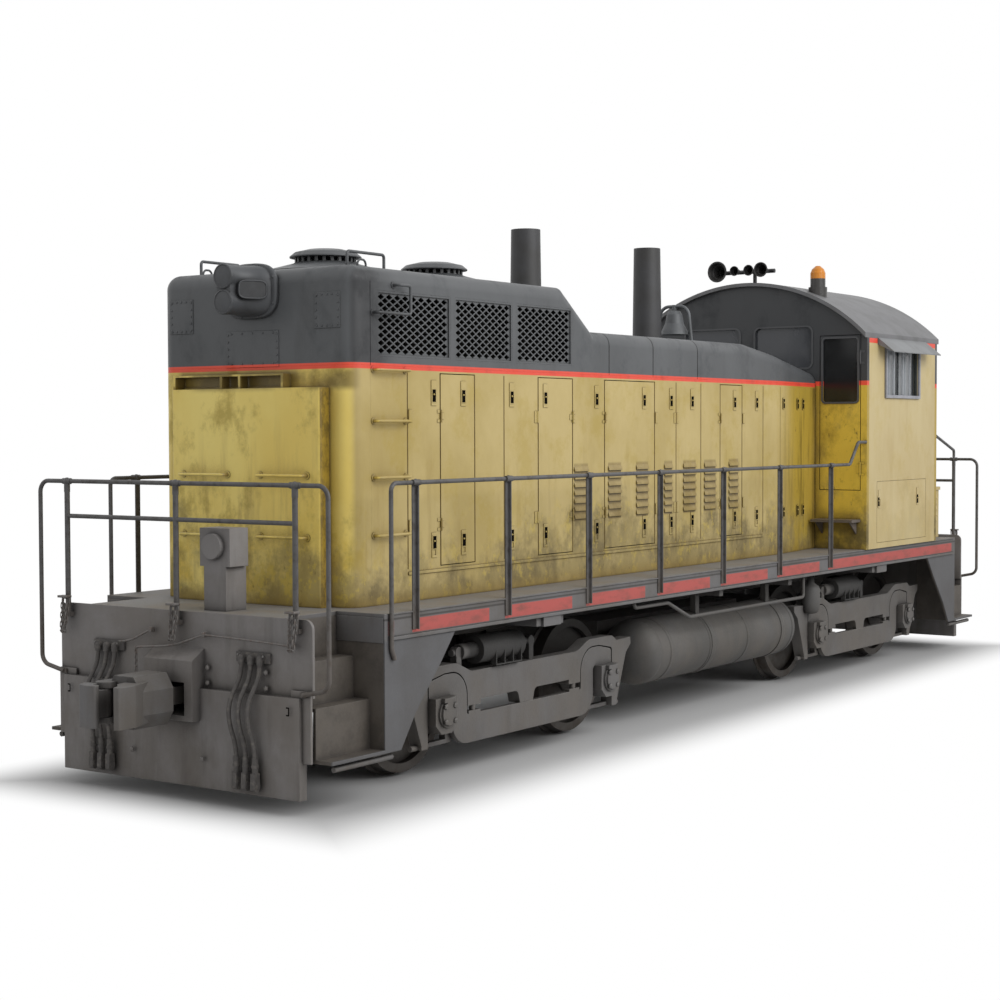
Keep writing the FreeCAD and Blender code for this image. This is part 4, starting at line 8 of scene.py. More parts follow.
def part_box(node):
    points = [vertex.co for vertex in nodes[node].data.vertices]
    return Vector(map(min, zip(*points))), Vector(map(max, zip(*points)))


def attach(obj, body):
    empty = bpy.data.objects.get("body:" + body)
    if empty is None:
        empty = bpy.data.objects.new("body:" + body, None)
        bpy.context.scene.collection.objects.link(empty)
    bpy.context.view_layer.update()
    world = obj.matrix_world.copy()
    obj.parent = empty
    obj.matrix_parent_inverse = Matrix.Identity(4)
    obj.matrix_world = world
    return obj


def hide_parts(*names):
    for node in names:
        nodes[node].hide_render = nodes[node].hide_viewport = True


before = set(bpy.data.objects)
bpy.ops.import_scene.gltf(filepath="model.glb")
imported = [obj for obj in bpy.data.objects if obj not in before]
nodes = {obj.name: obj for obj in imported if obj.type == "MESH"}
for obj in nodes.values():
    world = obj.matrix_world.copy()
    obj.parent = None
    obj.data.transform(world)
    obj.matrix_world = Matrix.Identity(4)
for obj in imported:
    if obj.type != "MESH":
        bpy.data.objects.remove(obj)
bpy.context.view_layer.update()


# ---- The viewpoint --------------------------------------------------------------------------
# A long lens at a standing person's height, off the left front corner of the locomotive,
# looking back along the hood towards the cab.

eye = Vector((16.119, 9.756, 2.740))
heading = math.radians(214.79)
tilt = math.radians(-2.174)
lean = math.radians(-0.17)
ahead = Vector((math.cos(tilt) * math.cos(heading), math.cos(tilt) * math.sin(heading), math.sin(tilt)))
right = Vector((math.sin(heading), -math.cos(heading), 0))
above = right.cross(ahead)
right, above = (
    math.cos(lean) * right + math.sin(lean) * above,
    math.cos(lean) * above - math.sin(lean) * right,
)
camera = bpy.data.objects.new("viewpoint", bpy.data.cameras.new("viewpoint"))
camera.data.lens = 66.48
camera.data.sensor_width = 36
camera.data.clip_end = 200
camera.matrix_world = Matrix.Translation(eye) @ Matrix((right, above, -ahead)).transposed().to_4x4()
bpy.context.scene.collection.objects.link(camera)
bpy.context.scene.camera = camera


# ---- Air hoses ------------------------------------------------------------------------------
# Three rubber hoses hang each side of both couplers, from elbows on the end plate down to
# their couplings. Each is 34 mm across with a fabric cover, dusty and greyed by weather.


def chip(red, green, blue, alpha=1.0):
    """A paint chip's colour, written as it looks, turned into the shader's linear light."""
    parts = [c / 255 for c in (red, green, blue)]
    light = [c / 12.92 if c <= 0.04045 else ((c + 0.055) / 1.055) ** 2.4 for c in parts]
    return (*light, alpha)


class Finish:
    """One surface, built up in layers: the metal, its paint, then wear, dust and grime."""

    def __init__(self, name):
        self.material = bpy.data.materials.new(name)
        self.material.use_nodes = True
        self.tree = self.material.node_tree
        self.skin = self.tree.nodes["Principled BSDF"]
        own = self.tree.nodes.new("ShaderNodeTexCoord").outputs
        self.spot, self.facing = own["Object"], own["Normal"]
        self.axes = self.step("ShaderNodeSeparateXYZ", [self.spot]).outputs
        self.soft_edge = None

    def step(self, kind, inputs=(), **settings):
        node = self.tree.nodes.new(kind)
        for key, value in settings.items():
            setattr(node, key, value)
        pairs = inputs.items() if isinstance(inputs, dict) else enumerate(inputs)
        for socket, value in pairs:
            if isinstance(value, bpy.types.NodeSocket):
                self.tree.links.new(value, node.inputs[socket])
            elif value is not None:
                node.inputs[socket].default_value = value
        return node

    def sum(self, operation, one, two=None):
        return self.step("ShaderNodeMath", [one, two], operation=operation).outputs[0]

    def both(self, *masks):
        total = masks[0]
        for mask in masks[1:]:
            total = self.sum("MULTIPLY", total, mask)
        return total

    def either(self, one, two):
        return self.sum("MAXIMUM", one, two)

    def ramp(self, value, start, stop):
        """0 at start and 1 at stop, whichever of the two is larger."""
        node = self.step(
            "ShaderNodeMapRange",
            {0: value, 1: start, 2: stop, 3: 0.0, 4: 1.0},
            interpolation_type="SMOOTHSTEP",
        )
        return node.outputs[0]

    def band(self, value, low, high, blur):
        """1 between low and high, with ends as soft as blur."""
        return self.both(
            self.ramp(value, low - blur, low + blur), self.ramp(value, high + blur, high - blur)
        )

    def cloud(self, scale, stretch=(1, 1, 1), shift=(0, 0, 0), detail=6.0, rough=0.6):
        place = self.step("ShaderNodeMapping", {"Vector": self.spot, "Scale": stretch, "Location": shift})
        return self.step(
            "ShaderNodeTexNoise",
            {"Vector": place.outputs[0], "Scale": scale, "Detail": detail, "Roughness": rough},
        ).outputs[0]

    def blots(self, scale, start, stop, *shape, **grain):
        """Soft patches: 0 where the cloud is at start, and 1 where it is at stop."""
        return self.ramp(self.cloud(scale, *shape, **grain), start, stop)

    def layer(self, under, over, *masks):
        node = self.step("ShaderNodeMix", {0: self.both(*masks), 6: under, 7: over}, data_type="RGBA")
        return node.outputs[2]

    def hollows(self, reach, start=0.95, stop=0.35):
        """1 deep in corners and under ledges, 0 out in the open."""
        node = self.step("ShaderNodeAmbientOcclusion", {"Distance": reach}, samples=6)
        return self.ramp(node.outputs["AO"], start, stop)

    def inside(self, axis, low, high, blur=0.003):
        return self.band(self.axes[axis], low, high, blur)

    def off_centre(self):
        """Distance from the locomotive's middle plane."""
        return self.sum("ABSOLUTE", self.axes["Y"])

    def rims(self, radius):
        """1 on sharp outer edges, where paint rubs through."""
        sharp = self.tree.nodes.new("ShaderNodeNewGeometry").outputs["Normal"]
        self.soft_edge = self.step("ShaderNodeBevel", {"Radius": radius}, samples=4).outputs[0]
        match = self.step("ShaderNodeVectorMath", [sharp, self.soft_edge], operation="DOT_PRODUCT")
        around = {"Distance": radius * 2}
        open_air = self.step("ShaderNodeAmbientOcclusion", around, samples=4, inside=False)
        return self.both(
            self.ramp(match.outputs["Value"], 0.995, 0.93), self.ramp(open_air.outputs["AO"], 0.75, 0.95)
        )

    def relief(self, height, strength, depth):
        inputs = {"Strength": strength, "Distance": depth, "Height": height}
        if self.soft_edge:
            inputs["Normal"] = self.soft_edge
        normal = self.step("ShaderNodeBump", inputs).outputs[0]
        self.tree.links.new(normal, self.skin.inputs["Normal"])
        self.soft_edge = normal

    def done(self, colour, rough, metal=0.0):
        for socket, value in (("Base Color", colour), ("Roughness", rough), ("Metallic", metal)):
            if isinstance(value, bpy.types.NodeSocket):
                self.tree.links.new(value, self.skin.inputs[socket])
            else:
                self.skin.inputs[socket].default_value = value
        return self.material


def hose_cover():
    """Black rubber gone grey, with a faint cloth weave and dust in patches."""
    f = Finish("hose_cover")
    dust = f.blots(26.0, 0.45, 0.72)
    colour = f.layer(chip(82, 79, 77), chip(108, 103, 98), dust)
    weave = f.cloud(160.0, (1, 1, 2.2), detail=2.0)
    f.relief(weave, 0.25, 0.002)
    return f.done(colour, 0.72)


def tube(name, routes, radius, finish, rings, steps):
    """Round bars or hoses of one thickness, bent along their routes, as one curve object."""
    curve = bpy.data.curves.new(name, "CURVE")
    curve.dimensions = "3D"
    curve.bevel_depth = radius
    curve.bevel_resolution = rings
    curve.resolution_u = steps
    for route in routes:
        spline = curve.splines.new("NURBS")
        spline.points.add(len(route) - 1)
        for point, place in zip(spline.points, route):
            point.co = (*place, 1)
        spline.order_u = 3
        spline.use_endpoint_u = True
    curve.materials.append(finish)
    made = bpy.data.objects.new(name, curve)
    bpy.context.scene.collection.objects.link(made)
    return made


hose_radius = 0.017
hose_start = 6.29
hose_route = (
    (0, 0, 1.06), (0, -0.006, 0.975), (0.036, -0.026, 0.89), (0.080, -0.042, 0.8),
    (0.094, -0.044, 0.7), (0.082, -0.030, 0.59), (0.060, -0.008, 0.49), (0.060, 0, 0.4),
)
hose_finish = hose_cover()
two_ends = (("front", 1), ("rear", -1))
for end_name, end in two_ends:
    for side_name, side in (("left", 1), ("right", -1)):
        for i in range(3):
            y = side * (0.65 + 0.09 * i)
            route = [(end * (hose_start + out), end * (y + aside), z) for out, aside, z in hose_route]
            name = "air_hose_%s_%s_%d" % (end_name, side_name, i + 1)
            hose = tube(name, [route], hose_radius, hose_finish, 4, 10)
            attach(hose, "platform")
            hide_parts("air_hoses")


# ---- Underframe -----------------------------------------------------------------------------
# Two long side sills, a centre sill and a flat deck, welded from plate and painted grey. A band
# along each side sill is red, broken by a grey patch ahead of every handrail post.


def coat(finish, *names):
    """Gives solids of the frame one finish, in every slot that they have."""
    for name in names:
        for slot in nodes[name].material_slots:
            slot.material = finish


def frame_grey(f, clean=chip(103, 102, 103), dull=chip(91, 87, 83)):
    """Matt grey paint with brown road dirt, and painted shade in corners and under ledges: returns its
    colour, its roughness and its relief.
    """
    z = f.axes["Z"]
    patches = f.blots(1.3, 0.36, 0.66, rough=0.65)
    colour = f.layer(clean, dull, patches)
    film = f.both(f.ramp(z, 1.45, 0.3), f.blots(3.0, 0.34, 0.7, (1, 1, 0.5), (3, 1, 0), detail=8.0))
    colour = f.layer(colour, chip(97, 91, 84), film, 0.75)
    runs = f.blots(7.0, 0.5, 0.72, (1, 1, 0.14), (2, 0, 5), detail=8.0)
    colour = f.layer(colour, chip(76, 71, 66), runs, 0.35)
    # Painted shade: dark in corners and under the body, darkest in tight creases.
    colour = f.layer(colour, chip(34, 30, 27), f.hollows(0.3, 0.9, 0.3), 0.7)
    colour = f.layer(colour, chip(30, 27, 25), f.hollows(0.05, 0.9, 0.3), 0.75)
    rubbed = f.both(f.rims(0.01), f.blots(9.0, 0.38, 0.62))
    colour = f.layer(colour, chip(140, 138, 135), rubbed, 0.55)
    grit = f.cloud(60.0, detail=4.0)
    return colour, f.sum("ADD", 0.5, f.both(grit, 0.3)), grit


post_first = 5.267
post_pitch = 1.21
patch_length = 0.24


def sill_paint():
    """The frame's grey, with the red band along both side sills and treads worn on the deck."""
    f = Finish("sill_paint")
    colour, rough, grit = frame_grey(f)
    x, z = f.axes["X"], f.axes["Z"]
    outer = f.ramp(f.off_centre(), 1.40, 1.41)
    bay = f.sum("MODULO", f.sum("SUBTRACT", post_first + patch_length + post_pitch, x), post_pitch)
    patch = f.both(f.ramp(bay, patch_length, 0.2), f.ramp(x, -2.3, -2.2))
    stripe = f.both(f.band(z, 1.243, 1.345, 0.004), f.band(x, -5.51, 5.56, 0.03))
    red = f.both(outer, stripe, f.ramp(patch, 0.8, 0.2))
    faded = f.blots(5.0, 0.42, 0.75, (1, 1, 3), detail=8.0)
    colour = f.layer(colour, f.layer(chip(174, 80, 74), chip(138, 74, 66), faded), red, 0.95)
    line = f.both(outer, f.band(z, 1.352, 1.368, 0.004), 0.7)
    colour = f.layer(colour, chip(42, 38, 35), line)
    top = f.ramp(z, 1.40, 1.404)
    colour = f.layer(colour, chip(134, 132, 130), top, 0.6)
    walked = f.both(top, f.blots(2.2, 0.42, 0.62, detail=9.0, rough=0.7))
    colour = f.layer(colour, chip(122, 112, 100), walked, 0.6)
    f.relief(grit, 0.18, 0.004)
    return f.done(colour, rough)


def plain_frame_paint(name, *tones):
    """The frame's grey by itself, or in its own clean and dull tones."""
    f = Finish(name)
    colour, rough, grit = frame_grey(f, *tones)
    f.relief(grit, 0.2, 0.004)
    return f.done(colour, rough)


def step_paint():
    """The frame's grey on the skirts, and brown boot dirt on the treads and risers inside them."""
    f = Finish("step_paint")
    colour, rough, grit = frame_grey(f)
    inner = f.ramp(f.off_centre(), 1.432, 1.424)
    worn = f.blots(4.0, 0.4, 0.64, detail=9.0, rough=0.7)
    dirt = f.layer(chip(86, 79, 71), chip(68, 62, 55), worn)
    colour = f.layer(colour, dirt, inner, 0.8)
    skirt = f.layer(chip(86, 87, 90), chip(76, 76, 78), f.blots(2.0, 0.38, 0.66, detail=8.0))
    colour = f.layer(colour, skirt, f.ramp(inner, 0.6, 0.4), 0.7)
    # Painted shade in the corners of the stairs.
    colour = f.layer(colour, chip(40, 36, 33), f.hollows(0.06, 0.9, 0.3), 0.6)
    f.relief(grit, 0.2, 0.004)
    return f.done(colour, rough)


coat(sill_paint(), "underframe")
coat(step_paint(), "step_wells")
frame_finish = plain_frame_paint("frame_paint")
tank_finish = plain_frame_paint("tank_paint", chip(82, 81, 80), chip(72, 70, 67))
coat(tank_finish, "fuel_tank", "air_reservoirs")


def spokes(count, turn=0):
    """Directions round a circle as cosine and sine, turned on by a share of one step."""
    angles = [math.tau * (k + turn) / count for k in range(count)]
    return [(math.cos(angle), math.sin(angle)) for angle in angles]


def standing(spot, axis):
    """The place of a shape that stands at a spot, its own Z along the axis."""
    return Matrix.Translation(Vector(spot)) @ Vector(axis).to_track_quat("Z", "Y").to_matrix().to_4x4()


class Bench:
    """Small pieces of one finish on one body, gathered into a single mesh."""

    def __init__(self):
        self.work = bmesh.new()

    def block(self, corner, opposite, edge=0.0):
        """A block between two opposite corners, its edges rounded off by edge."""
        low, high = Vector(map(min, corner, opposite)), Vector(map(max, corner, opposite))
        place = Matrix.Translation((low + high) / 2) @ Matrix.Diagonal((*(high - low), 1))
        made = bmesh.ops.create_cube(self.work, size=1, matrix=place)
        if edge:
            edges = dict.fromkeys(e for v in made["verts"] for e in v.link_edges)
            round_off = {"offset": edge, "segments": 2, "profile": 0.5, "affect": "EDGES"}
            bmesh.ops.bevel(self.work, geom=list(edges), **round_off)

    def head(self, spot, facing, radius, height, sides=6):
        """A bolt or rivet head that stands on a surface, facing out of it."""
        for start, foot, top in ((0, radius, radius * 0.92), (height * 0.6, radius * 0.92, radius * 0.5)):
            length = height * 0.6 if start == 0 else height * 0.4
            place = standing(spot, facing) @ Matrix.Translation((0, 0, start + length / 2))
            bmesh.ops.create_cone(
                self.work, cap_ends=True, segments=sides,
                radius1=foot, radius2=top, depth=length, matrix=place,
            )

    def turned(self, foot, axis, profile, sides=28):
        """A round piece like one from a lathe: profile gives radius and distance along its axis."""
        circle = spokes(sides)
        rings = [[(radius * c, radius * s, height) for c, s in circle] for radius, height in profile]
        self.skin(rings, standing(foot, axis))

    def skin(self, rings, place=Matrix.Identity(4)):
        """Closed skin through rings of as many points each, with a flat face over both ends."""
        rows = [[self.work.verts.new(place @ Vector(point)) for point in ring] for ring in rings]
        for near, far in zip(rows, rows[1:]):
            for k in range(len(near)):
                after = (k + 1) % len(near)
                self.work.faces.new((near[k], near[after], far[after], far[k]))
        self.work.faces.new(rows[0][::-1])
        self.work.faces.new(rows[-1])

    def link(self, spot, along, turn, length, width, wire):
        """One closed chain link, its long way along the chain."""
        place = standing(spot, along) @ Matrix.Rotation(turn, 4, "Z")
        sections, sides = 14, 6
        rows = []
        for c, s in spokes(sections):
            centre = Vector((c * width / 2, 0, s * width / 2))
            if abs(s) > 0.1:
                centre.z += math.copysign((length - width) / 2, s)
            offsets = [Vector((c * out * wire, aside * wire, s * out * wire)) for out, aside in spokes(sides)]
            rows.append([self.work.verts.new(place @ (centre + offset)) for offset in offsets])
        for i in range(sections):
            near, far = rows[i], rows[(i + 1) % sections]
            for k in range(sides):
                self.work.faces.new((near[k], far[k], far[(k + 1) % sides], near[(k + 1) % sides]))

    def finished(self, name, finish, slot="frame_grey", body="platform", smooth=False):
        bmesh.ops.recalc_face_normals(self.work, faces=self.work.faces)
        mesh = bpy.data.meshes.new(name)
        self.work.to_mesh(mesh)
        self.work.free()
        for face in mesh.polygons:
            face.use_smooth = smooth
        mesh.materials.append(finish)
        made = bpy.data.objects.new(name, mesh)
        bpy.context.scene.collection.objects.link(made)
        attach(made, body)
        return made


def rods(name, routes, radius, finish):
    """Bent steel rods or pipes with closed ends."""
    made = tube(name, routes, radius, finish, 2, 6)
    made.data.use_fill_caps = True
    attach(made, "platform")


sill_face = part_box("underframe")[1].y
edges = Bench()
for side in (1, -1):
    for low, high, proud in ((1.392, 1.404, 0.010), (1.206, 1.232, 0.014)):
        back, face = side * (sill_face + 0.0005), side * (sill_face + proud)
        edges.block((-5.56, back, low), (5.56, face, high), 0.002)
edges.finished("sill_edge_strips", frame_finish)

# Steel straps hold the reservoirs up, their ends are pressed to domes, and a drip cup hangs from
# the sill behind them. All are welded or screwed on and share the reservoirs' paint.
tank_line_y, tank_line_z = 1.0, 0.67
dome_radius, dome_depth = 0.304, 0.195
dome_steps = 10
strap_profile = ((0.290, 0), (0.3045, 0.002), (0.3045, 0.048), (0.290, 0.05))
cup_profile = (
    (0.02, 0), (0.07, 0.01), (0.095, 0.05), (0.1, 0.12),
    (0.1, 0.26), (0.085, 0.3), (0.04, 0.33), (0.035, 0.42),
)
dome_profile = [(dome_radius, -0.03)]
for k in range(dome_steps):
    angle = math.pi / 2 * k / (dome_steps - 0.7)
    dome_profile.append((dome_radius * math.cos(angle), dome_depth * math.sin(angle)))
straps = Bench()
for side in (1, -1):
    for x in (1.12, 0.36, -0.42, -1.2):
        straps.turned((x, side * tank_line_y, tank_line_z), (1, 0, 0), strap_profile, 40)
    for shoulder, way in ((1.365, 1), (-1.41, -1)):
        straps.turned((shoulder, side * tank_line_y, tank_line_z), (way, 0, 0), dome_profile, 40)
    straps.turned((-2.0, side * 1.22, 0.76), (0, 0, 1), cup_profile)
straps.finished("reservoir_straps", tank_finish, smooth=True)

# A plate closes the frame behind the upper step of each corner stair.
closers = Bench()
stair_back, closer_sheet = 5.6205, 0.005
closer_inner, closer_outer = 0.985, 1.428
closer_low, closer_high = 1.19, 1.378
for end in (1, -1):
    for side in (1, -1):
        inner = (end * stair_back, side * closer_inner, closer_low)
        outer = (end * (stair_back + closer_sheet), side * closer_outer, closer_high)
        closers.block(inner, outer, 0.001)
closers.finished("stair_back_plates", frame_finish)


# ---- End plates -----------------------------------------------------------------------------
# A thick plate closes each end of the frame, with the coupler pocket in its middle and a pilot
# below it. Round it lie bolt heads, key slots, and the rods and chain that lift the coupler's lock.

end_finish = plain_frame_paint("end_plate_paint", chip(130, 127, 126), chip(117, 112, 108))
coat(end_finish, "end_plate_front", "end_plate_rear", "control_pedestal")

plate_face = 6.2705
pilot_face = 6.3255
pocket_bolts = ((0.30, 1.005), (0.30, 0.892), (0.872, 1.01), (0.872, 0.894))
pilot_bolts = ((-0.43, 0.342), (0.293, 0.340))
key_place, key_height = 1.12, 0.755
key_slot = ((-0.032, -0.022, -0.014, 0.010), (0.022, 0.032, -0.014, 0.010), (-0.03, 0.03, 0.006, 0.016))


def painted_shade_black():
    # A matt near-black that stands in for the shade inside slots, pockets and the hood behind the grilles:
    # painted shade.
    f = Finish("painted_shade_black")
    f.skin.inputs["Specular IOR Level"].default_value = 0.05
    return f.done(f.layer(chip(8, 7, 5), chip(18, 16, 12), f.blots(30.0, 0.4, 0.7)), 0.95)


def chain_steel():
    f = Finish("chain_steel")
    rust = f.blots(40.0, 0.42, 0.65, detail=8.0)
    colour = f.layer(chip(112, 109, 107), chip(96, 82, 72), rust, 0.7)
    f.relief(f.cloud(90.0), 0.3, 0.001)
    return f.done(colour, 0.5, 0.2)


shade_black_finish = painted_shade_black()
chain_finish = chain_steel()
for end_name, end in two_ends:
    plate = Bench()
    slots = Bench()
    for y, z in pocket_bolts:
        plate.head((end * plate_face, end * y, z), (end, 0, 0), 0.021, 0.016)
    for y, z in pilot_bolts:
        plate.head((end * (pilot_face + 0.0025), end * y, z), (end, 0, 0), 0.021, 0.016)
    for y in (0.62, 0.86, -0.62, -0.86):
        plate.head((end * (plate_face + 0.02), end * y, 1.125), (end, 0, 0), 0.010, 0.008)
    for side in (1, -1):
        y = end * side * key_place
        near, far = end * pilot_face, end * (pilot_face + 0.0015)
        # The slots are thin black blocks on the pilot: their dark is painted shade.
        for low, high, left, right in key_slot:
            slots.block((near, y + left, key_height + low), (far, y + right, key_height + high))
        # A wing of plate behind each side of the pilot reaches out towards the stair.
        plate.block((end * 6.246, side * 1.10, 0.385), (end * 6.268, side * 1.285, 0.90), 0.004)
    plate.finished("end_plate_bolts_" + end_name, end_finish)
    slots.finished("key_slots_" + end_name, shade_black_finish)
    lift = 6.30
    routes = (
        ((lift, 1.16, 1.215), (lift, 0.975, 1.226), (lift, 0.62, 1.240), (lift, 0.29, 1.248)),
        ((lift, 0.30, 1.250), (lift, 0.25, 1.235), (lift + 0.01, 0.039, 1.165), (lift + 0.03, -0.10, 1.142),
         (lift + 0.08, -0.20, 1.14), (lift + 0.09, -0.31, 1.13)),
        ((lift, -0.235, 1.262), (lift, -0.30, 1.235), (lift, -0.484, 1.151), (lift - 0.01, -0.60, 1.145)),
    )
    lift_routes = [[(end * x, end * y, z) for x, y, z in route] for route in routes]
    rods("lift_rods_" + end_name, lift_routes, 0.008, chain_finish)
    pipes = [[(end * x, side * 1.40, 0.345) for x in (5.50, 5.80, 6.16)] for side in (1, -1)]
    rods("step_pipes_" + end_name, pipes, 0.022, frame_finish)
    eyes = Bench()
    for y, z in ((0.29, 1.248), (1.14, 1.215), (-0.25, 1.255)):
        near, far = end * plate_face, end * (lift + 0.012)
        eyes.block((near, end * y - 0.014, z - 0.02), (far, end * y + 0.014, z + 0.02), 0.004)
    for i in range(8):
        spot = (end * (lift + 0.09), end * -0.318, 1.12 - 0.024 * i)
        eyes.link(spot, (0, 0, 1), math.pi / 2 * (i % 2), 0.036, 0.020, 0.0045)
    eyes.finished("lift_chain_" + end_name, chain_finish, smooth=True)


# ---- Trucks and wheels ----------------------------------------------------------------------
# Cast steel side frames, drop equalizers and journal boxes under the same grey, browner low down, and painted
# near black as shade inside the truck and under the deck. The wheels are rolled steel, left unpainted, with
# brown dust on their faces and painted shade over their upper parts.


def truck_paint():
    f = Finish("truck_paint")
    colour, rough, grit = frame_grey(f, chip(98, 96, 95), chip(85, 82, 79))
    # Painted shade: parts inside the side frames, and the frames' tops under the deck, are painted near
    # black.
    soot_and_shade = f.ramp(f.off_centre(), 1.05, 0.95)
    along = f.sum("ABSOLUTE", f.axes["X"])
    upper = f.both(f.ramp(f.axes["Z"], 0.80, 0.84), f.band(along, 2.62, 4.2, 0.04))
    colour = f.layer(colour, chip(36, 35, 34), f.either(soot_and_shade, upper), 0.86)
    f.relief(grit, 0.35, 0.006)
    return f.done(colour, rough)


def wheel_steel():
    f = Finish("wheel_steel")
    patches = f.blots(7.0, 0.35, 0.7)
    colour = f.layer(chip(84, 80, 76), chip(66, 58, 50), patches)
    # Painted shade: the wheels darken towards their tops, under the frames, and in their hollows.
    colour = f.layer(colour, chip(30, 28, 26), f.ramp(f.axes["Z"], 0.5, 0.7), 0.8)
    colour = f.layer(colour, chip(34, 31, 29), f.hollows(0.12), 0.8)
    f.relief(f.cloud(40.0), 0.3, 0.004)
    return f.done(colour, 0.55, 0.35)


truck_finish = truck_paint()
wheel_finish = wheel_steel()
for end_name in ("front", "rear"):
    coat(truck_finish, "truck_frame_" + end_name, "equalizers_" + end_name)
    coat(frame_finish, "coupler_" + end_name, "knuckle_" + end_name)
    coat(wheel_finish, "wheelset_%s_leading" % end_name, "wheelset_%s_trailing" % end_name)
coat(hose_finish, "hose_couplings")

bolt_circle = 0.085
for end_name in ("front", "rear"):
    covers = Bench()
    for axle in ("leading", "trailing"):
        low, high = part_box("wheelset_%s_%s" % (end_name, axle))
        middle = (low + high) / 2
        cover_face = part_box("equalizers_" + end_name)[1].y
        for side in (1, -1):
            for along, up in spokes(4, 0.5):
                spot = (middle.x + bolt_circle * along, side * cover_face, middle.z + bolt_circle * up)
                covers.head(spot, (0, side, 0), 0.024, 0.016)
    covers.finished("journal_bolts_" + end_name, truck_finish, "cast_grey", "truck_" + end_name)


# ---- Handrails ------------------------------------------------------------------------------
# Bent steel tube round both walkways and both ends, joined at its posts by pressed tees. It is
# painted grey and rubbed dark by hands, and a slack safety chain hangs at each end post.


def rail_paint():
    f = Finish("rail_paint")
    worn = f.blots(14.0, 0.45, 0.7)
    colour = f.layer(chip(84, 83, 83), chip(62, 58, 55), worn)
    colour = f.layer(colour, chip(96, 84, 72), f.ramp(f.axes["Z"], 1.7, 1.1), 0.4)
    f.relief(f.cloud(70.0), 0.15, 0.002)
    return f.done(colour, 0.5)


rail_finish = rail_paint()
coat(rail_finish, "side_handrails", "end_handrails")

# One collar goes round each bar at a joint, a little larger than the bar.
rail_top = 2.354
rail_line_x = 6.282
side_line_y = 1.462
tee_half = 0.045
end_posts = (-1.165, 0, 1.165)
end_tees = [
    [(end * rail_line_x, y - tee_half, rail_top), (end * rail_line_x, y + tee_half, rail_top)]
    for end in (1, -1) for y in end_posts
] + [
    [(end * rail_line_x, y, rail_top - 0.02), (end * rail_line_x, y, rail_top - 0.085)]
    for end in (1, -1) for y in end_posts
]
post_places = [post_first - post_pitch * i for i in range(7)]
side_tees = [
    [(x - tee_half, side * side_line_y, rail_top), (x + tee_half, side * side_line_y, rail_top)]
    for side in (1, -1) for x in post_places
]
for piece_name, routes in (("end_rail_tees", end_tees), ("side_rail_tees", side_tees)):
    rods(piece_name, routes, 0.0235, rail_finish)

# A flat tab on each end post holds the two upper links of its chain, which hangs in a loop.
chain_x = 6.3095
chain_half = 0.030
chain_top, chain_low = 1.441, 1.191
for end_name, end in two_ends:
    chains = Bench()
    for place in end_posts:
        near, far = end * (rail_line_x + 0.006), end * (chain_x + 0.045)
        chains.block((near, end * place - 0.045, 1.452), (far, end * place + 0.045, 1.470), 0.003)
        corners = (
            (chain_x, place - chain_half, chain_top),
            (chain_x + chain_half, place - chain_half / 2, chain_low),
            (chain_x + chain_half, place + chain_half / 2, chain_low),
            (chain_x, place + chain_half, chain_top),
        )
        count = 0
        for start, stop in zip(corners, corners[1:]):
            start = Vector((end * start[0], end * start[1], start[2]))
            stop = Vector((end * stop[0], end * stop[1], stop[2]))
            steps = max(1, round((stop - start).length / 0.038))
            for i in range(steps):
                spot = start.lerp(stop, (i + 0.5) / steps)
                twist = math.pi / 4 + math.pi / 2 * (count % 2)
                chains.link(spot, stop - start, twist, 0.054, 0.029, 0.0045)
                count += 1
    chains.finished("safety_chains_" + end_name, chain_finish, "rail_grey", smooth=True)


# ---- Hood -----------------------------------------------------------------------------------
# Pressed steel doors and panels over the engine, yellow up to an orange-red line and dark grey
# above it. The yellow is stained brown in drips from the ledges and thick with dirt at the deck.


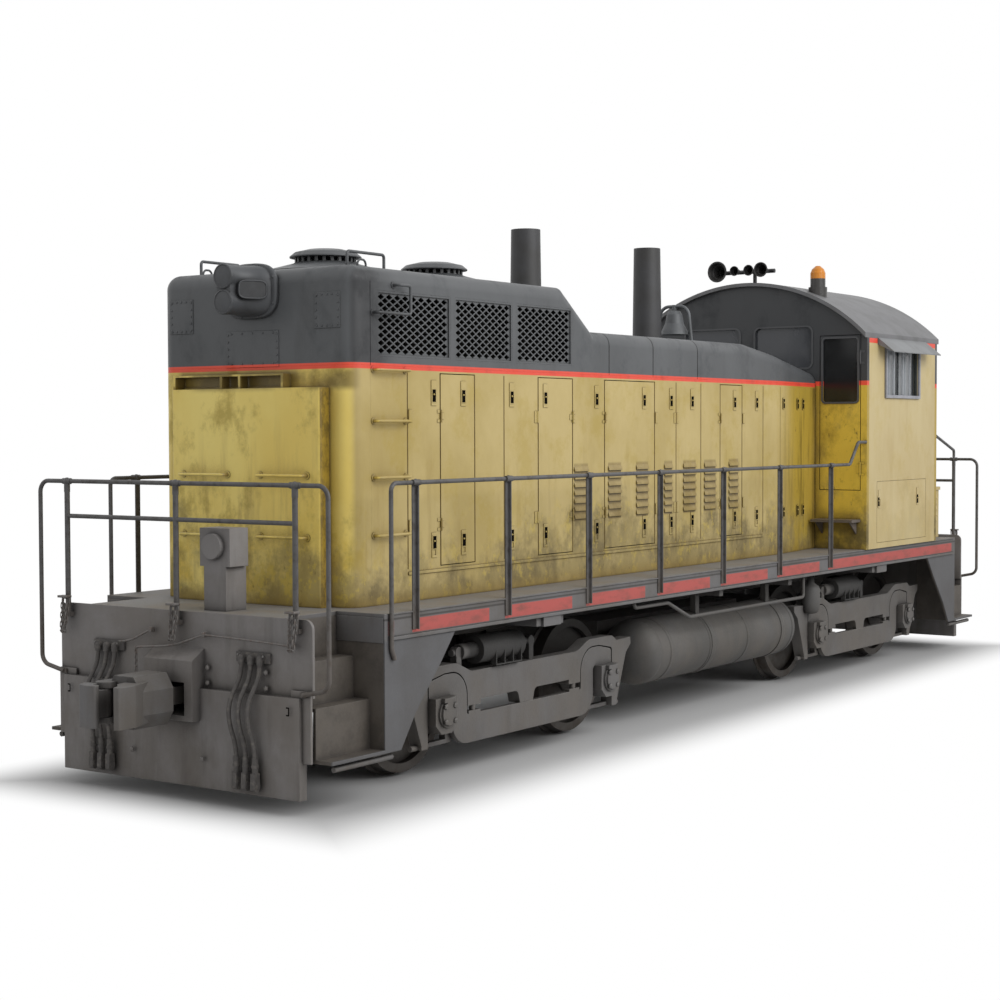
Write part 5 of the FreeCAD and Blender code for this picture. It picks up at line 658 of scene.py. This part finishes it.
def body_yellow(f, line_low, line_high, gold):
    """Yellow below the line, the line itself, and grey above: returns colour and roughness.

    gold is 1 where the yellow is painted a darker, deeper gold as shade, and 0 where it is not. Faces towards
    the ends get brighter copies of the paints as painted light, and all three paints darken in corners as
    painted shade.
    """
    z = f.axes["Z"]
    # Painted light: faces towards the ends get a brighter copy of each paint than the sides.
    ahead_part = f.step("ShaderNodeSeparateXYZ", [f.facing]).outputs["X"]
    ends = f.ramp(f.sum("ABSOLUTE", ahead_part), 0.45, 0.9)
    fade = f.blots(0.9, 0.35, 0.68, (1, 1, 0.7), detail=8.0)
    sides = f.layer(chip(189, 169, 113), chip(170, 149, 88), fade)
    yellow = f.layer(sides, f.layer(chip(242, 220, 126), chip(232, 204, 104), fade), ends)
    # Painted shade: where gold is 1 the yellow turns a darker, deeper gold.
    yellow = f.layer(yellow, f.layer(chip(168, 141, 44), chip(214, 181, 58), ends), gold, 0.85)
    smear = f.blots(2.4, 0.49, 0.66, (1, 1, 0.8), (7, 2, 1), detail=10.0, rough=0.72)
    yellow = f.layer(yellow, chip(168, 146, 70), smear, f.sum("ADD", 0.4, f.both(ends, 0.3)))
    drips = f.blots(7.0, 0.5, 0.72, (1, 1, 0.1), (0, 0, 4), detail=9.0, rough=0.65)
    yellow = f.layer(yellow, chip(146, 122, 66), drips, f.ramp(z, 3.15, 1.9), 0.5)
    wave = f.cloud(1.5, (1, 1, 0.9), (1, 8, 3), detail=10.0, rough=0.7)
    height = f.sum("SUBTRACT", z, f.both(f.sum("SUBTRACT", wave, 0.5), 2.8))
    tide = f.ramp(height, 2.02, 1.5)
    caked = f.blots(3.6, 0.4, 0.64, (1, 1, 0.7), detail=9.0, rough=0.7)
    muck = f.layer(chip(146, 130, 84), chip(98, 87, 60), caked)
    yellow = f.layer(yellow, muck, tide, f.sum("SUBTRACT", 0.85, f.both(ends, 0.15)))
    flakes = f.blots(8.0, 0.53, 0.6, (1, 1, 0.75), (5, 1, 2), detail=10.0, rough=0.75)
    flaked = f.both(flakes, f.ramp(height, 2.15, 1.75), f.sum("ADD", 0.35, f.both(ends, 0.35)))
    yellow = f.layer(yellow, chip(206, 180, 76), flaked)
    specks = f.blots(16.0, 0.58, 0.68, (1, 1, 0.6), (3, 3, 3), detail=10.0, rough=0.78)
    yellow = f.layer(yellow, chip(84, 70, 36), specks, f.either(tide, gold), 0.75)
    # Painted shade: the yellow darkens in corners and under ledges, and most in tight creases.
    yellow = f.layer(yellow, chip(124, 100, 36), f.hollows(0.16, 0.97, 0.5), 0.7)
    yellow = f.layer(yellow, chip(62, 48, 16), f.hollows(0.03, 0.9, 0.4), 0.85)
    grey = f.layer(chip(76, 78, 80), chip(85, 87, 89), f.blots(0.9, 0.35, 0.7))
    washed = f.blots(5.0, 0.5, 0.75, (1, 1, 0.3), detail=8.0)
    grey = f.layer(grey, chip(64, 65, 66), washed, 0.5)
    # Painted shade in the grey's corners.
    grey = f.layer(grey, chip(26, 26, 27), f.hollows(0.05, 0.9, 0.4), 0.85)
    red = f.layer(chip(222, 74, 54), chip(192, 64, 48), f.blots(6.0, 0.5, 0.8, detail=8.0))
    # Painted light on the red's faces towards the ends, and painted shade in its creases.
    red = f.layer(red, chip(238, 84, 60), ends)
    red = f.layer(red, chip(96, 36, 28), f.hollows(0.03, 0.9, 0.4), 0.8)
    colour = f.layer(yellow, red, f.ramp(z, line_low - 0.003, line_low + 0.003))
    colour = f.layer(colour, grey, f.ramp(z, line_high - 0.003, line_high + 0.003))
    return colour, f.sum("ADD", 0.44, f.both(f.either(tide, smear), 0.3))


seam_half = 0.009
roof_seams = (1.760, 0.966, 0.097)
leaf_edges = (
    4.756, 4.331, 3.860, 3.440, 2.926, 2.377, 1.840, 0.937, 0.525, 0.029, -0.372, -0.848, -1.322, -1.75,
)
louver_edges = (
    (2.122, 2.354), (1.551, 1.779), (1.059, 1.280), (0.600, 0.756),
    (0.135, 0.386), (-0.279, -0.039), (-0.764, -0.557),
)


def inside_any(f, ranges):
    """1 inside any one of the ranges along the hood."""
    found = f.inside("X", *ranges[0])
    for near, far in ranges[1:]:
        found = f.either(found, f.inside("X", near, far))
    return found


def joints_at(f, places):
    return inside_any(f, [(place - seam_half, place + seam_half) for place in places])


def hood_paint():
    f = Finish("hood_paint")
    x, z = f.axes["X"], f.axes["Z"]
    outer = f.both(f.ramp(f.off_centre(), 0.72, 0.766), f.ramp(z, 3.1, 3.08))
    # Painted shade: the turret's flank, blotches low on the nose's corner and the tail of the hood at the cab
    # take the darker, deeper gold, and the flank is darkened further in a grain.
    flank = f.both(f.inside("X", 5.436, 5.534, 0.004), outer)
    corner = f.both(f.ramp(x, 5.2, 5.4), f.ramp(z, 2.5, 1.6), f.blots(2.4, 0.44, 0.62, detail=8.0))
    tail = f.ramp(x, -1.7, -2.3)
    gold = f.either(f.either(flank, f.both(corner, 0.9)), tail)
    colour, rough = body_yellow(f, 3.205, 3.25, gold)
    below = f.ramp(z, 3.2, 3.19)
    flank_shade_grain = f.blots(11.0, 0.42, 0.6, (1, 1, 0.6), detail=10.0, rough=0.78)
    colour = f.layer(colour, f.layer(chip(104, 84, 30), chip(160, 132, 44), flank_shade_grain), flank, 0.85)
    stained = f.both(
        f.inside("Z", 3.055, 3.2, 0.03), f.ramp(x, 5.3, 5.42), f.blots(3.0, 0.35, 0.6, detail=9.0)
    )
    colour = f.layer(colour, chip(112, 94, 46), stained, 0.8)
    streak = f.both(tail, f.blots(9.0, 0.48, 0.66, (1, 1, 0.08), (4, 4, 0), detail=8.0), below)
    colour = f.layer(colour, chip(86, 72, 26), streak, 0.7)
    sides = f.both(f.ramp(f.off_centre(), 0.80, 0.84), f.inside("Z", 1.66, 3.19))
    colour = f.layer(colour, chip(116, 95, 42), joints_at(f, leaf_edges), sides, 0.8)
    upper = f.ramp(z, 3.25, 3.256)
    colour = f.layer(colour, chip(30, 30, 31), joints_at(f, roof_seams), upper, 0.9)
    shade = f.both(f.ramp(x, 4.85, 5.25), f.ramp(f.off_centre(), 0.93, 0.97), upper)
    colour = f.layer(colour, chip(44, 45, 47), shade, 0.95)
    vents = f.both(inside_any(f, louver_edges), f.inside("Z", 1.93, 2.44, 0.01), sides)
    soot_and_shade = f.blots(5.0, 0.3, 0.6, detail=9.0, rough=0.7)
    colour = f.layer(colour, chip(126, 106, 60), vents, f.sum("ADD", 0.35, f.both(soot_and_shade, 0.35)))
    # Painted shade under the louver slats.
    colour = f.layer(colour, chip(58, 46, 24), vents, f.hollows(0.03, 0.98, 0.7), 0.8)
    rubbed = f.both(f.rims(0.006), f.blots(12.0, 0.4, 0.65), below)
    colour = f.layer(colour, chip(214, 194, 120), rubbed, 0.4)
    f.relief(f.cloud(3.0, detail=3.0), 0.14, 0.02)
    return f.done(colour, rough)


hood_finish = hood_paint()
coat(hood_finish, *(name for name in nodes if name.startswith("hood_")))
coat(hood_finish, "grab_irons", "fan_housings", "radiator_grilles")

# Each door shuts with a flush latch above and below: a plate with a pocket for the fingers, whose dark inside
# is painted shade in a black block.
latch_slots = (
    ("platform", (4.417, 3.327, 1.977, 0.622, 0.206, -1.176)),
    ("b", (4.019,)),
    ("e", (2.814,)),
    ("g", (1.133,)),
    ("k", (-0.685,)),
)
side_face = 0.990
latch_heights = (3.012, 1.852)


def latch(pockets, rims, x, y, side, middle, lean):
    """One pocket with its rim and handle, on a side that closes in towards the cab by lean."""
    def spot(along, out, up):
        return Vector((x + along, side * (y + out + lean * along), middle + up))

    for bench, half, tall, out in ((rims, 0.028, 0.058, 0.0062), (pockets, 0.021, 0.049, 0.0075)):
        corners = ((-half, -tall), (half, -tall), (half, tall), (-half, tall))
        front = [bench.work.verts.new(spot(a, out, b)) for a, b in corners]
        back = [bench.work.verts.new(spot(a, 0.001, b)) for a, b in corners]
        bench.work.faces.new(front)
        bench.work.faces.new(back)
        for k in range(4):
            bench.work.faces.new((front[k], front[(k + 1) % 4], back[(k + 1) % 4], back[k]))
    rims.head(spot(0.008, 0.0075, 0.010), (0, side, 0), 0.008, 0.012, 8)


for side_name, side in (("left", 1), ("right", -1)):
    for leaf, places in latch_slots:
        body = "platform" if leaf == "platform" else "hood_door_%s_%s" % (side_name, leaf)
        pockets, rims = Bench(), Bench()
        for x in places:
            for middle in latch_heights:
                latch(pockets, rims, x, side_face, side, middle, 0)
        if leaf == "platform":
            for x, y in ((-1.848, 0.970), (-2.298, 0.918), (-2.477, 0.897)):
                for middle in latch_heights:
                    latch(pockets, rims, x, y, side, middle, 0.1165)
        pockets.finished("latch_pockets_%s_%s" % (side_name, leaf), shade_black_finish, "body_yellow", body)
        rims.finished("latch_rims_%s_%s" % (side_name, leaf), hood_finish, "body_yellow", body)

# Covers on the front of the turret are held by small round-headed screws.
screws = Bench()
for low, high, z_low, z_high, count in (
    (0.63, 0.88, 3.51, 3.78, 5), (-0.88, -0.63, 3.51, 3.78, 5), (-0.27, 0.27, 3.24, 3.51, 5)
):
    for i in range(count):
        share = (i + 0.5) / count
        y, z = low + (high - low) * share, z_low + (z_high - z_low) * share
        for spot in ((y, z_low + 0.018), (y, z_high - 0.018), (low + 0.018, z), (high - 0.018, z)):
            screws.head((5.4342, spot[0], spot[1]), (1, 0, 0), 0.009, 0.006, 8)
screws.finished("turret_screws", hood_finish, "roof_grey")


# ---- Radiator cores -------------------------------------------------------------------------
# Behind each diamond grille stands a finned radiator core, which stops the view through the hood. It is a
# brazed block of thin vertical fins, painted near black as the shade deep behind the grille.

cores = Bench()
low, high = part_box("radiator_grilles")
core_back, core_face, fin_edge = 0.80, 0.86, 0.872
fins = 54
for side in (1, -1):
    cores.block((low.x + 0.02, side * core_back, 3.30), (high.x - 0.02, side * core_face, 3.83), 0.004)
    for i in range(fins):
        x = low.x + 0.05 + (high.x - low.x - 0.1) * i / (fins - 1)
        cores.block((x - 0.006, side * core_face, 3.31), (x + 0.006, side * fin_edge, 3.82))
cores.finished("radiator_cores", shade_black_finish, "engine_grey")


# ---- Roof fittings --------------------------------------------------------------------------
# Two steel exhaust stacks, black with soot, and two cooling fans are bolted to the hood's roof.
# A cast bell hangs in its hoop ahead of the cab, and air horns stand on the cab roof. All are
# painted grey or black, with the paint rubbed off their edges.


def roof_grey(name, colour, other):
    f = Finish(name)
    tone = f.layer(colour, other, f.blots(3.5, 0.35, 0.68, detail=8.0))
    # Painted shade in corners and under ledges.
    tone = f.layer(tone, chip(28, 27, 27), f.hollows(0.08), 0.7)
    rubbed = f.both(f.rims(0.005), f.blots(12.0, 0.4, 0.65))
    tone = f.layer(tone, chip(116, 116, 116), rubbed, 0.5)
    f.relief(f.cloud(30.0), 0.15, 0.003)
    return f.done(tone, 0.5)


stack_finish = roof_grey("stack_paint", chip(54, 54, 56), chip(44, 43, 42))
fitting_finish = roof_grey("fitting_paint", chip(74, 76, 78), chip(64, 64, 65))
coat(stack_finish, "exhaust_stacks")
coat(roof_grey("bell_bronze", chip(104, 107, 110), chip(84, 86, 88)), "bell")
coat(fitting_finish, "fan_rotor_front", "fan_rotor_rear", "engine_block")
coat(roof_grey("horn_enamel", chip(30, 30, 31), chip(40, 38, 37)), "horn")


# ---- Headlights -----------------------------------------------------------------------------
# A grey casting bolted to the wall by an oval flange. Two closed lamps stand one above the other
# on its nose, joined by a waist, and a blank number board lies in each slanting side.

lamp_finish = roof_grey("lamp_casting", chip(74, 76, 79), chip(62, 63, 65))
coat(lamp_finish, "headlights")
lamp_low, lamp_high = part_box("headlights")
lamp_spread = 0.098
lamp_radius = 0.092
waist_half, waist_blend = 0.070, 0.3
block_oval = (0.225, 0.196, 3.4)
flange_oval = (0.272, 0.214, 3)


def oval(across, up, wide, tall, power):
    """How far an oval reaches along one direction: the higher its power, the squarer it is."""
    return ((abs(across) / wide) ** power + (abs(up) / tall) ** power) ** (-1 / power)


def lamp_outline(share):
    """Outline of the casting: an oval block at share 0, and two lobes with a waist at share 1."""
    ring = []
    for across, up in spokes(56):
        block = oval(across, up, *block_oval)
        lobe = 0.0
        inside = lamp_radius ** 2 - (lamp_spread * across) ** 2
        if inside > 0:
            lobe = lamp_spread * abs(up) + math.sqrt(inside)
        if abs(across) > waist_blend:
            waist = waist_half / abs(across)
            lobe = max(lobe, waist if abs(up) * waist < lamp_spread else 0)
        reach_out = block + (lobe - block) * share
        ring.append((reach_out * across, reach_out * up))
    return ring


def headlight(name, wall, middle, end):
    """The casting on a wall at X = wall, facing end, with its lamps' centres round Z = middle."""
    casting = Bench()
    flange = []
    for across, up in spokes(48):
        out = oval(across, up, *flange_oval)
        flange.append((out * across, out * up))
    casting.skin([
        [(wall + end * x, y * s, middle + z * s) for y, z in flange]
        for x, s in ((0.001, 1.0), (0.022, 1.0), (0.032, 0.97), (0.034, 0.94))
    ])
    nose = (
        (0.03, 0.0), (0.055, 0.06), (0.09, 0.30), (0.13, 0.58),
        (0.18, 0.82), (0.24, 0.96), (0.29, 1.0), (0.322, 1.0),
    )
    casting.skin([[(wall + end * x, y, middle + z) for y, z in lamp_outline(share)] for x, share in nose])
    r = lamp_radius
    lens = (
        (r - 0.02, 0), (r + 0.004, 0.004), (r + 0.004, 0.030), (r - 0.004, 0.036),
        (r - 0.010, 0.030), (r * 0.5, 0.035), (0.004, 0.037),
    )
    for side in (1, -1):
        casting.turned((wall + end * 0.30, 0, middle + side * lamp_spread), (end, 0, 0), lens, 36)
    for across, up in spokes(8, 0.5):
        out = 0.93 * oval(across, up, *flange_oval)
        casting.head((wall + end * 0.033, out * across, middle + out * up), (end, 0, 0), 0.011, 0.009)
    made = casting.finished(name, lamp_finish, "roof_grey", smooth=True)
    made.modifiers.new("crisp_edges", "EDGE_SPLIT").split_angle = math.radians(38)
    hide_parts("headlights")
    boards, faces = [], Bench()
    for side in (1, -1):
        corners = []
        for c, s in spokes(24):
            share = 0.5 + math.copysign(0.5 * abs(c) ** 0.5, c)
            up = math.copysign(0.5 * abs(s) ** 0.5, s)
            corners.append((
                wall + end * (0.075 + 0.19 * share), side * (0.218 - 0.112 * share), middle + 0.135 * up
            ))
        boards.append(corners + corners[:1])
        faces.skin([[(x, y - side * depth, z) for x, y, z in corners] for depth in (0.03, 0.002)])
    rods(name + "_rims", boards, 0.006, lamp_finish)
    faces.finished(name + "_boards", board_finish, "roof_grey")


def board_paint():
    f = Finish("blank_board")
    haze = f.blots(12.0, 0.4, 0.75, detail=8.0)
    return f.done(f.layer(chip(34, 35, 37), chip(52, 53, 55), haze), 0.35)


board_finish = board_paint()
lamp_depth = 0.340
headlight("headlight_front", lamp_high.x - lamp_depth, 3.815, 1)
headlight("headlight_rear", lamp_low.x + lamp_depth, lamp_high.z - 0.217, -1)


# ---- Cab ------------------------------------------------------------------------------------
# Welded steel walls under a curved roof, with doors in the ends and sliding windows in the sides.
# They are yellow with a red line, charcoal round the upper end windows, and the cab's sides have bleached
# paler than the hood. The end doors and walls are painted in a darker, deeper gold as shade.


cab_middle, cab_half = -3.9125, 1.02


def cab_wall_paint():
    f = Finish("cab_wall_paint")
    x, z = f.axes["X"], f.axes["Z"]
    # Painted shade: the whole end wall takes the darker, deeper gold.
    colour, rough = body_yellow(f, 3.22, 3.27, 1.0)
    oil = f.blots(2.1, 0.47, 0.68, (1, 1, 0.7), (2, 2, 6), detail=10.0, rough=0.72)
    below = f.ramp(z, 3.222, 3.216)
    colour = f.layer(colour, chip(120, 98, 34), below, oil, 0.6)
    colour = f.layer(colour, chip(50, 51, 53), f.ramp(z, 3.27, 3.276), 0.85)
    foot = f.both(below, f.ramp(z, 1.95, 1.45), f.blots(5.0, 0.35, 0.6, detail=9.0))
    colour = f.layer(colour, chip(72, 62, 26), foot, 0.7)
    from_middle = f.sum("ABSOLUTE", f.sum("SUBTRACT", x, cab_middle))
    shelf = f.both(f.inside("Z", 1.57, 1.742), f.ramp(from_middle, cab_half, cab_half + 0.004))
    colour = f.layer(colour, chip(92, 84, 78), shelf)
    proud = f.ramp(from_middle, cab_half - 0.0005, cab_half + 0.0025)
    colour = f.layer(colour, chip(74, 75, 77), proud, f.ramp(z, 2.95, 3.0))
    f.relief(f.cloud(3.0, detail=3.0), 0.12, 0.02)
    return f.done(colour, rough)


def cab_side_paint():
    f = Finish("cab_side_paint")
    colour, rough = body_yellow(f, 3.69, 3.86, 0.0)
    z = f.axes["Z"]
    below = f.ramp(z, 3.69, 3.685)
    pale = f.blots(1.4, 0.38, 0.66, (1, 1, 0.4), detail=8.0)
    colour = f.layer(colour, f.layer(chip(196, 179, 134), chip(185, 165, 116), pale), below, 0.82)
    dusty = f.blots(6.0, 0.5, 0.72, (1, 1, 0.12), detail=9.0)
    colour = f.layer(colour, chip(170, 146, 92), dusty, below, 0.3)
    # Painted shade in the cab side's creases.
    colour = f.layer(colour, chip(92, 72, 34), f.hollows(0.03, 0.9, 0.4), 0.7)
    lining = f.both(f.ramp(f.off_centre(), 1.462, 1.458), f.ramp(f.axes["X"], -4.925, -4.92))
    colour = f.layer(colour, chip(84, 87, 84), lining)
    f.relief(f.cloud(3.0, detail=3.0), 0.1, 0.02)
    return f.done(colour, rough)


def dark_glass():
    """Dusty glass, dark in the end walls as painted shade of the cab inside, with the sliding sashes of the
    side windows painted bright as reflection and the dark gaps between them as painted shade.
    """
    f = Finish("cab_glass")
    dust = f.blots(3.0, 0.4, 0.8, (1, 1, 0.6), detail=8.0)
    colour = f.layer(chip(68, 70, 74), chip(84, 86, 90), dust, 0.6)
    side_panes = f.ramp(f.off_centre(), 1.39, 1.40)
    sash = f.layer(chip(150, 154, 158), chip(136, 140, 144), dust)
    colour = f.layer(colour, sash, side_panes)
    slot_dark = f.either(f.inside("X", -3.84, -3.735), f.inside("X", -4.36, -4.15))
    colour = f.layer(colour, chip(26, 32, 34), slot_dark, side_panes)
    material = f.done(colour, f.sum("ADD", 0.12, f.both(dust, 0.3)))
    f.skin.inputs["Alpha"].default_value = 0.94
    return material


def door_glass():
    f = Finish("door_glass")
    dust = f.blots(3.5, 0.42, 0.8, (1, 1, 0.5), (0, 3, 1), detail=8.0)
    # Painted shade: the panes are near black for the dark cab behind them, under dust.
    colour = f.layer(chip(24, 25, 26), chip(48, 49, 50), dust, 0.6)
    material = f.done(colour, 0.16)
    f.skin.inputs["Alpha"].default_value = 0.95
    return material


def sunshade_paint():
    """Grey sheet over the window, and the bare metal of the window's own frame."""
    f = Finish("sunshade_paint")
    tone = f.layer(chip(122, 124, 126), chip(108, 109, 110), f.blots(3.5, 0.35, 0.68, detail=8.0))
    metal = f.both(f.ramp(f.axes["Z"], 3.66, 3.65), f.ramp(f.off_centre(), 1.496, 1.492))
    bare = f.layer(chip(150, 151, 158), chip(132, 133, 139), f.blots(9.0, 0.4, 0.7))
    tone = f.layer(tone, bare, metal)
    sash = f.both(metal, f.inside("X", -4.32, -3.44), f.inside("Z", 3.14, 3.63))
    tone = f.layer(tone, chip(140, 144, 148), sash, 0.9)
    # Painted shade in the corners of the shade and frame.
    tone = f.layer(tone, chip(58, 58, 60), f.hollows(0.05), 0.6)
    f.relief(f.cloud(30.0), 0.12, 0.003)
    return f.done(tone, 0.45)


wall_finish = cab_wall_paint()
side_finish = cab_side_paint()
coat(wall_finish, "cab_front_wall", "cab_rear_wall", "cab_door_front", "cab_door_rear")
coat(side_finish, "cab_side_left", "cab_side_right", "battery_box")
coat(roof_grey("cab_roof_paint", chip(111, 111, 113), chip(97, 97, 98)), "cab_roof")
coat(sunshade_paint(), "sunshades")
coat(roof_grey("interior_paint", chip(96, 100, 96), chip(84, 86, 82)), "cab_interior")

# The two hatches low in each cab side shut with the same flush latches as the hood's doors.
hatch_latches, hatch_rims = Bench(), Bench()
cab_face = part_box("cab_side_left")[1].y
for side in (1, -1):
    for x in (-3.216, -4.338):
        latch(hatch_latches, hatch_rims, x, cab_face - 0.006, side, 1.925, 0)
# Their pockets are black blocks of painted shade.
hatch_latches.finished("hatch_latch_pockets", shade_black_finish, "body_yellow")
hatch_rims.finished("hatch_latch_rims", side_finish, "body_yellow")
coat(dark_glass(), "cab_glass")
coat(door_glass(), "cab_door_pane_front", "cab_door_pane_rear")


def amber():
    f = Finish("beacon_lens")
    base = f.ramp(f.axes["Z"], 4.435, 4.44)
    colour = f.layer(chip(52, 50, 48), chip(206, 128, 28), base)
    return f.done(colour, 0.25)


coat(amber(), "beacon")


# ---- Floor and light ------------------------------------------------------------------------
# A plain pale studio floor under the locomotive, which runs out into a white backdrop. Soft light comes from
# all round, and one broad lamp high on the left gives the soft shadow.


def floor_finish():
    """Pale grey floor near the locomotive, which keeps its real shadow and darkens round it as painted
    shadow, and runs out into the white backdrop further off.
    """
    f = Finish("studio_floor")
    material = f.done(chip(198, 198, 198), 0.95)
    f.skin.inputs["Specular IOR Level"].default_value = 0.1
    # Painted shadow: for camera rays the floor is grey close round the locomotive and white beyond.
    along = f.ramp(f.sum("ABSOLUTE", f.axes["X"]), 6.2, 7.1)
    across = f.ramp(f.off_centre(), 1.3, 2.3)
    beyond = f.either(along, across)
    rays = f.tree.nodes.new("ShaderNodeLightPath")
    white = f.step("ShaderNodeEmission", {"Color": (1, 1, 1, 1), "Strength": 1.0})
    share = f.both(beyond, rays.outputs["Is Camera Ray"])
    blend = f.step("ShaderNodeMixShader", {0: share, 1: f.skin.outputs[0], 2: white.outputs[0]})
    f.tree.links.new(blend.outputs[0], f.tree.nodes["Material Output"].inputs["Surface"])
    return material


floor_mesh = bpy.data.meshes.new("studio_floor")
reach = 60
floor_mesh.from_pydata(
    [(-reach, -reach, 0), (reach, -reach, 0), (reach, reach, 0), (-reach, reach, 0)], [], [(0, 1, 2, 3)]
)
floor_mesh.materials.append(floor_finish())
studio_floor = bpy.data.objects.new("studio_floor", floor_mesh)
bpy.context.scene.collection.objects.link(studio_floor)

world = bpy.data.worlds.new("studio")
bpy.context.scene.world = world
world.use_nodes = True
air = world.node_tree
sky = air.nodes["Background"]
backdrop = air.nodes.new("ShaderNodeBackground")
for glow, strength in ((sky, 0.62), (backdrop, 1.0)):
    glow.inputs["Color"].default_value = (1, 1, 1, 1)
    glow.inputs["Strength"].default_value = strength
rays = air.nodes.new("ShaderNodeLightPath")
mixed = air.nodes.new("ShaderNodeMixShader")
seen = rays.outputs["Is Camera Ray"]
for kind in ("Is Glossy Ray", "Is Transmission Ray"):
    both_kinds = air.nodes.new("ShaderNodeMath")
    both_kinds.operation = "MAXIMUM"
    air.links.new(seen, both_kinds.inputs[0])
    air.links.new(rays.outputs[kind], both_kinds.inputs[1])
    seen = both_kinds.outputs[0]
for socket, source in enumerate((seen, sky.outputs[0], backdrop.outputs[0])):
    air.links.new(source, mixed.inputs[socket])
air.links.new(mixed.outputs[0], air.nodes["World Output"].inputs["Surface"])

lamp_data = bpy.data.lights.new("overhead_softbox", "AREA")
lamp_data.shape = "RECTANGLE"
lamp_data.size = 16
lamp_data.size_y = 10
lamp_data.energy = 1900
lamp = bpy.data.objects.new("overhead_softbox", lamp_data)
lamp.location = (1, 15, 11)
lamp.rotation_mode = "QUATERNION"
lamp.rotation_quaternion = (Vector((0, 0, 1.5)) - lamp.location).to_track_quat("-Z", "Y")
bpy.context.scene.collection.objects.link(lamp)

bpy.context.scene.view_settings.view_transform = "Standard"
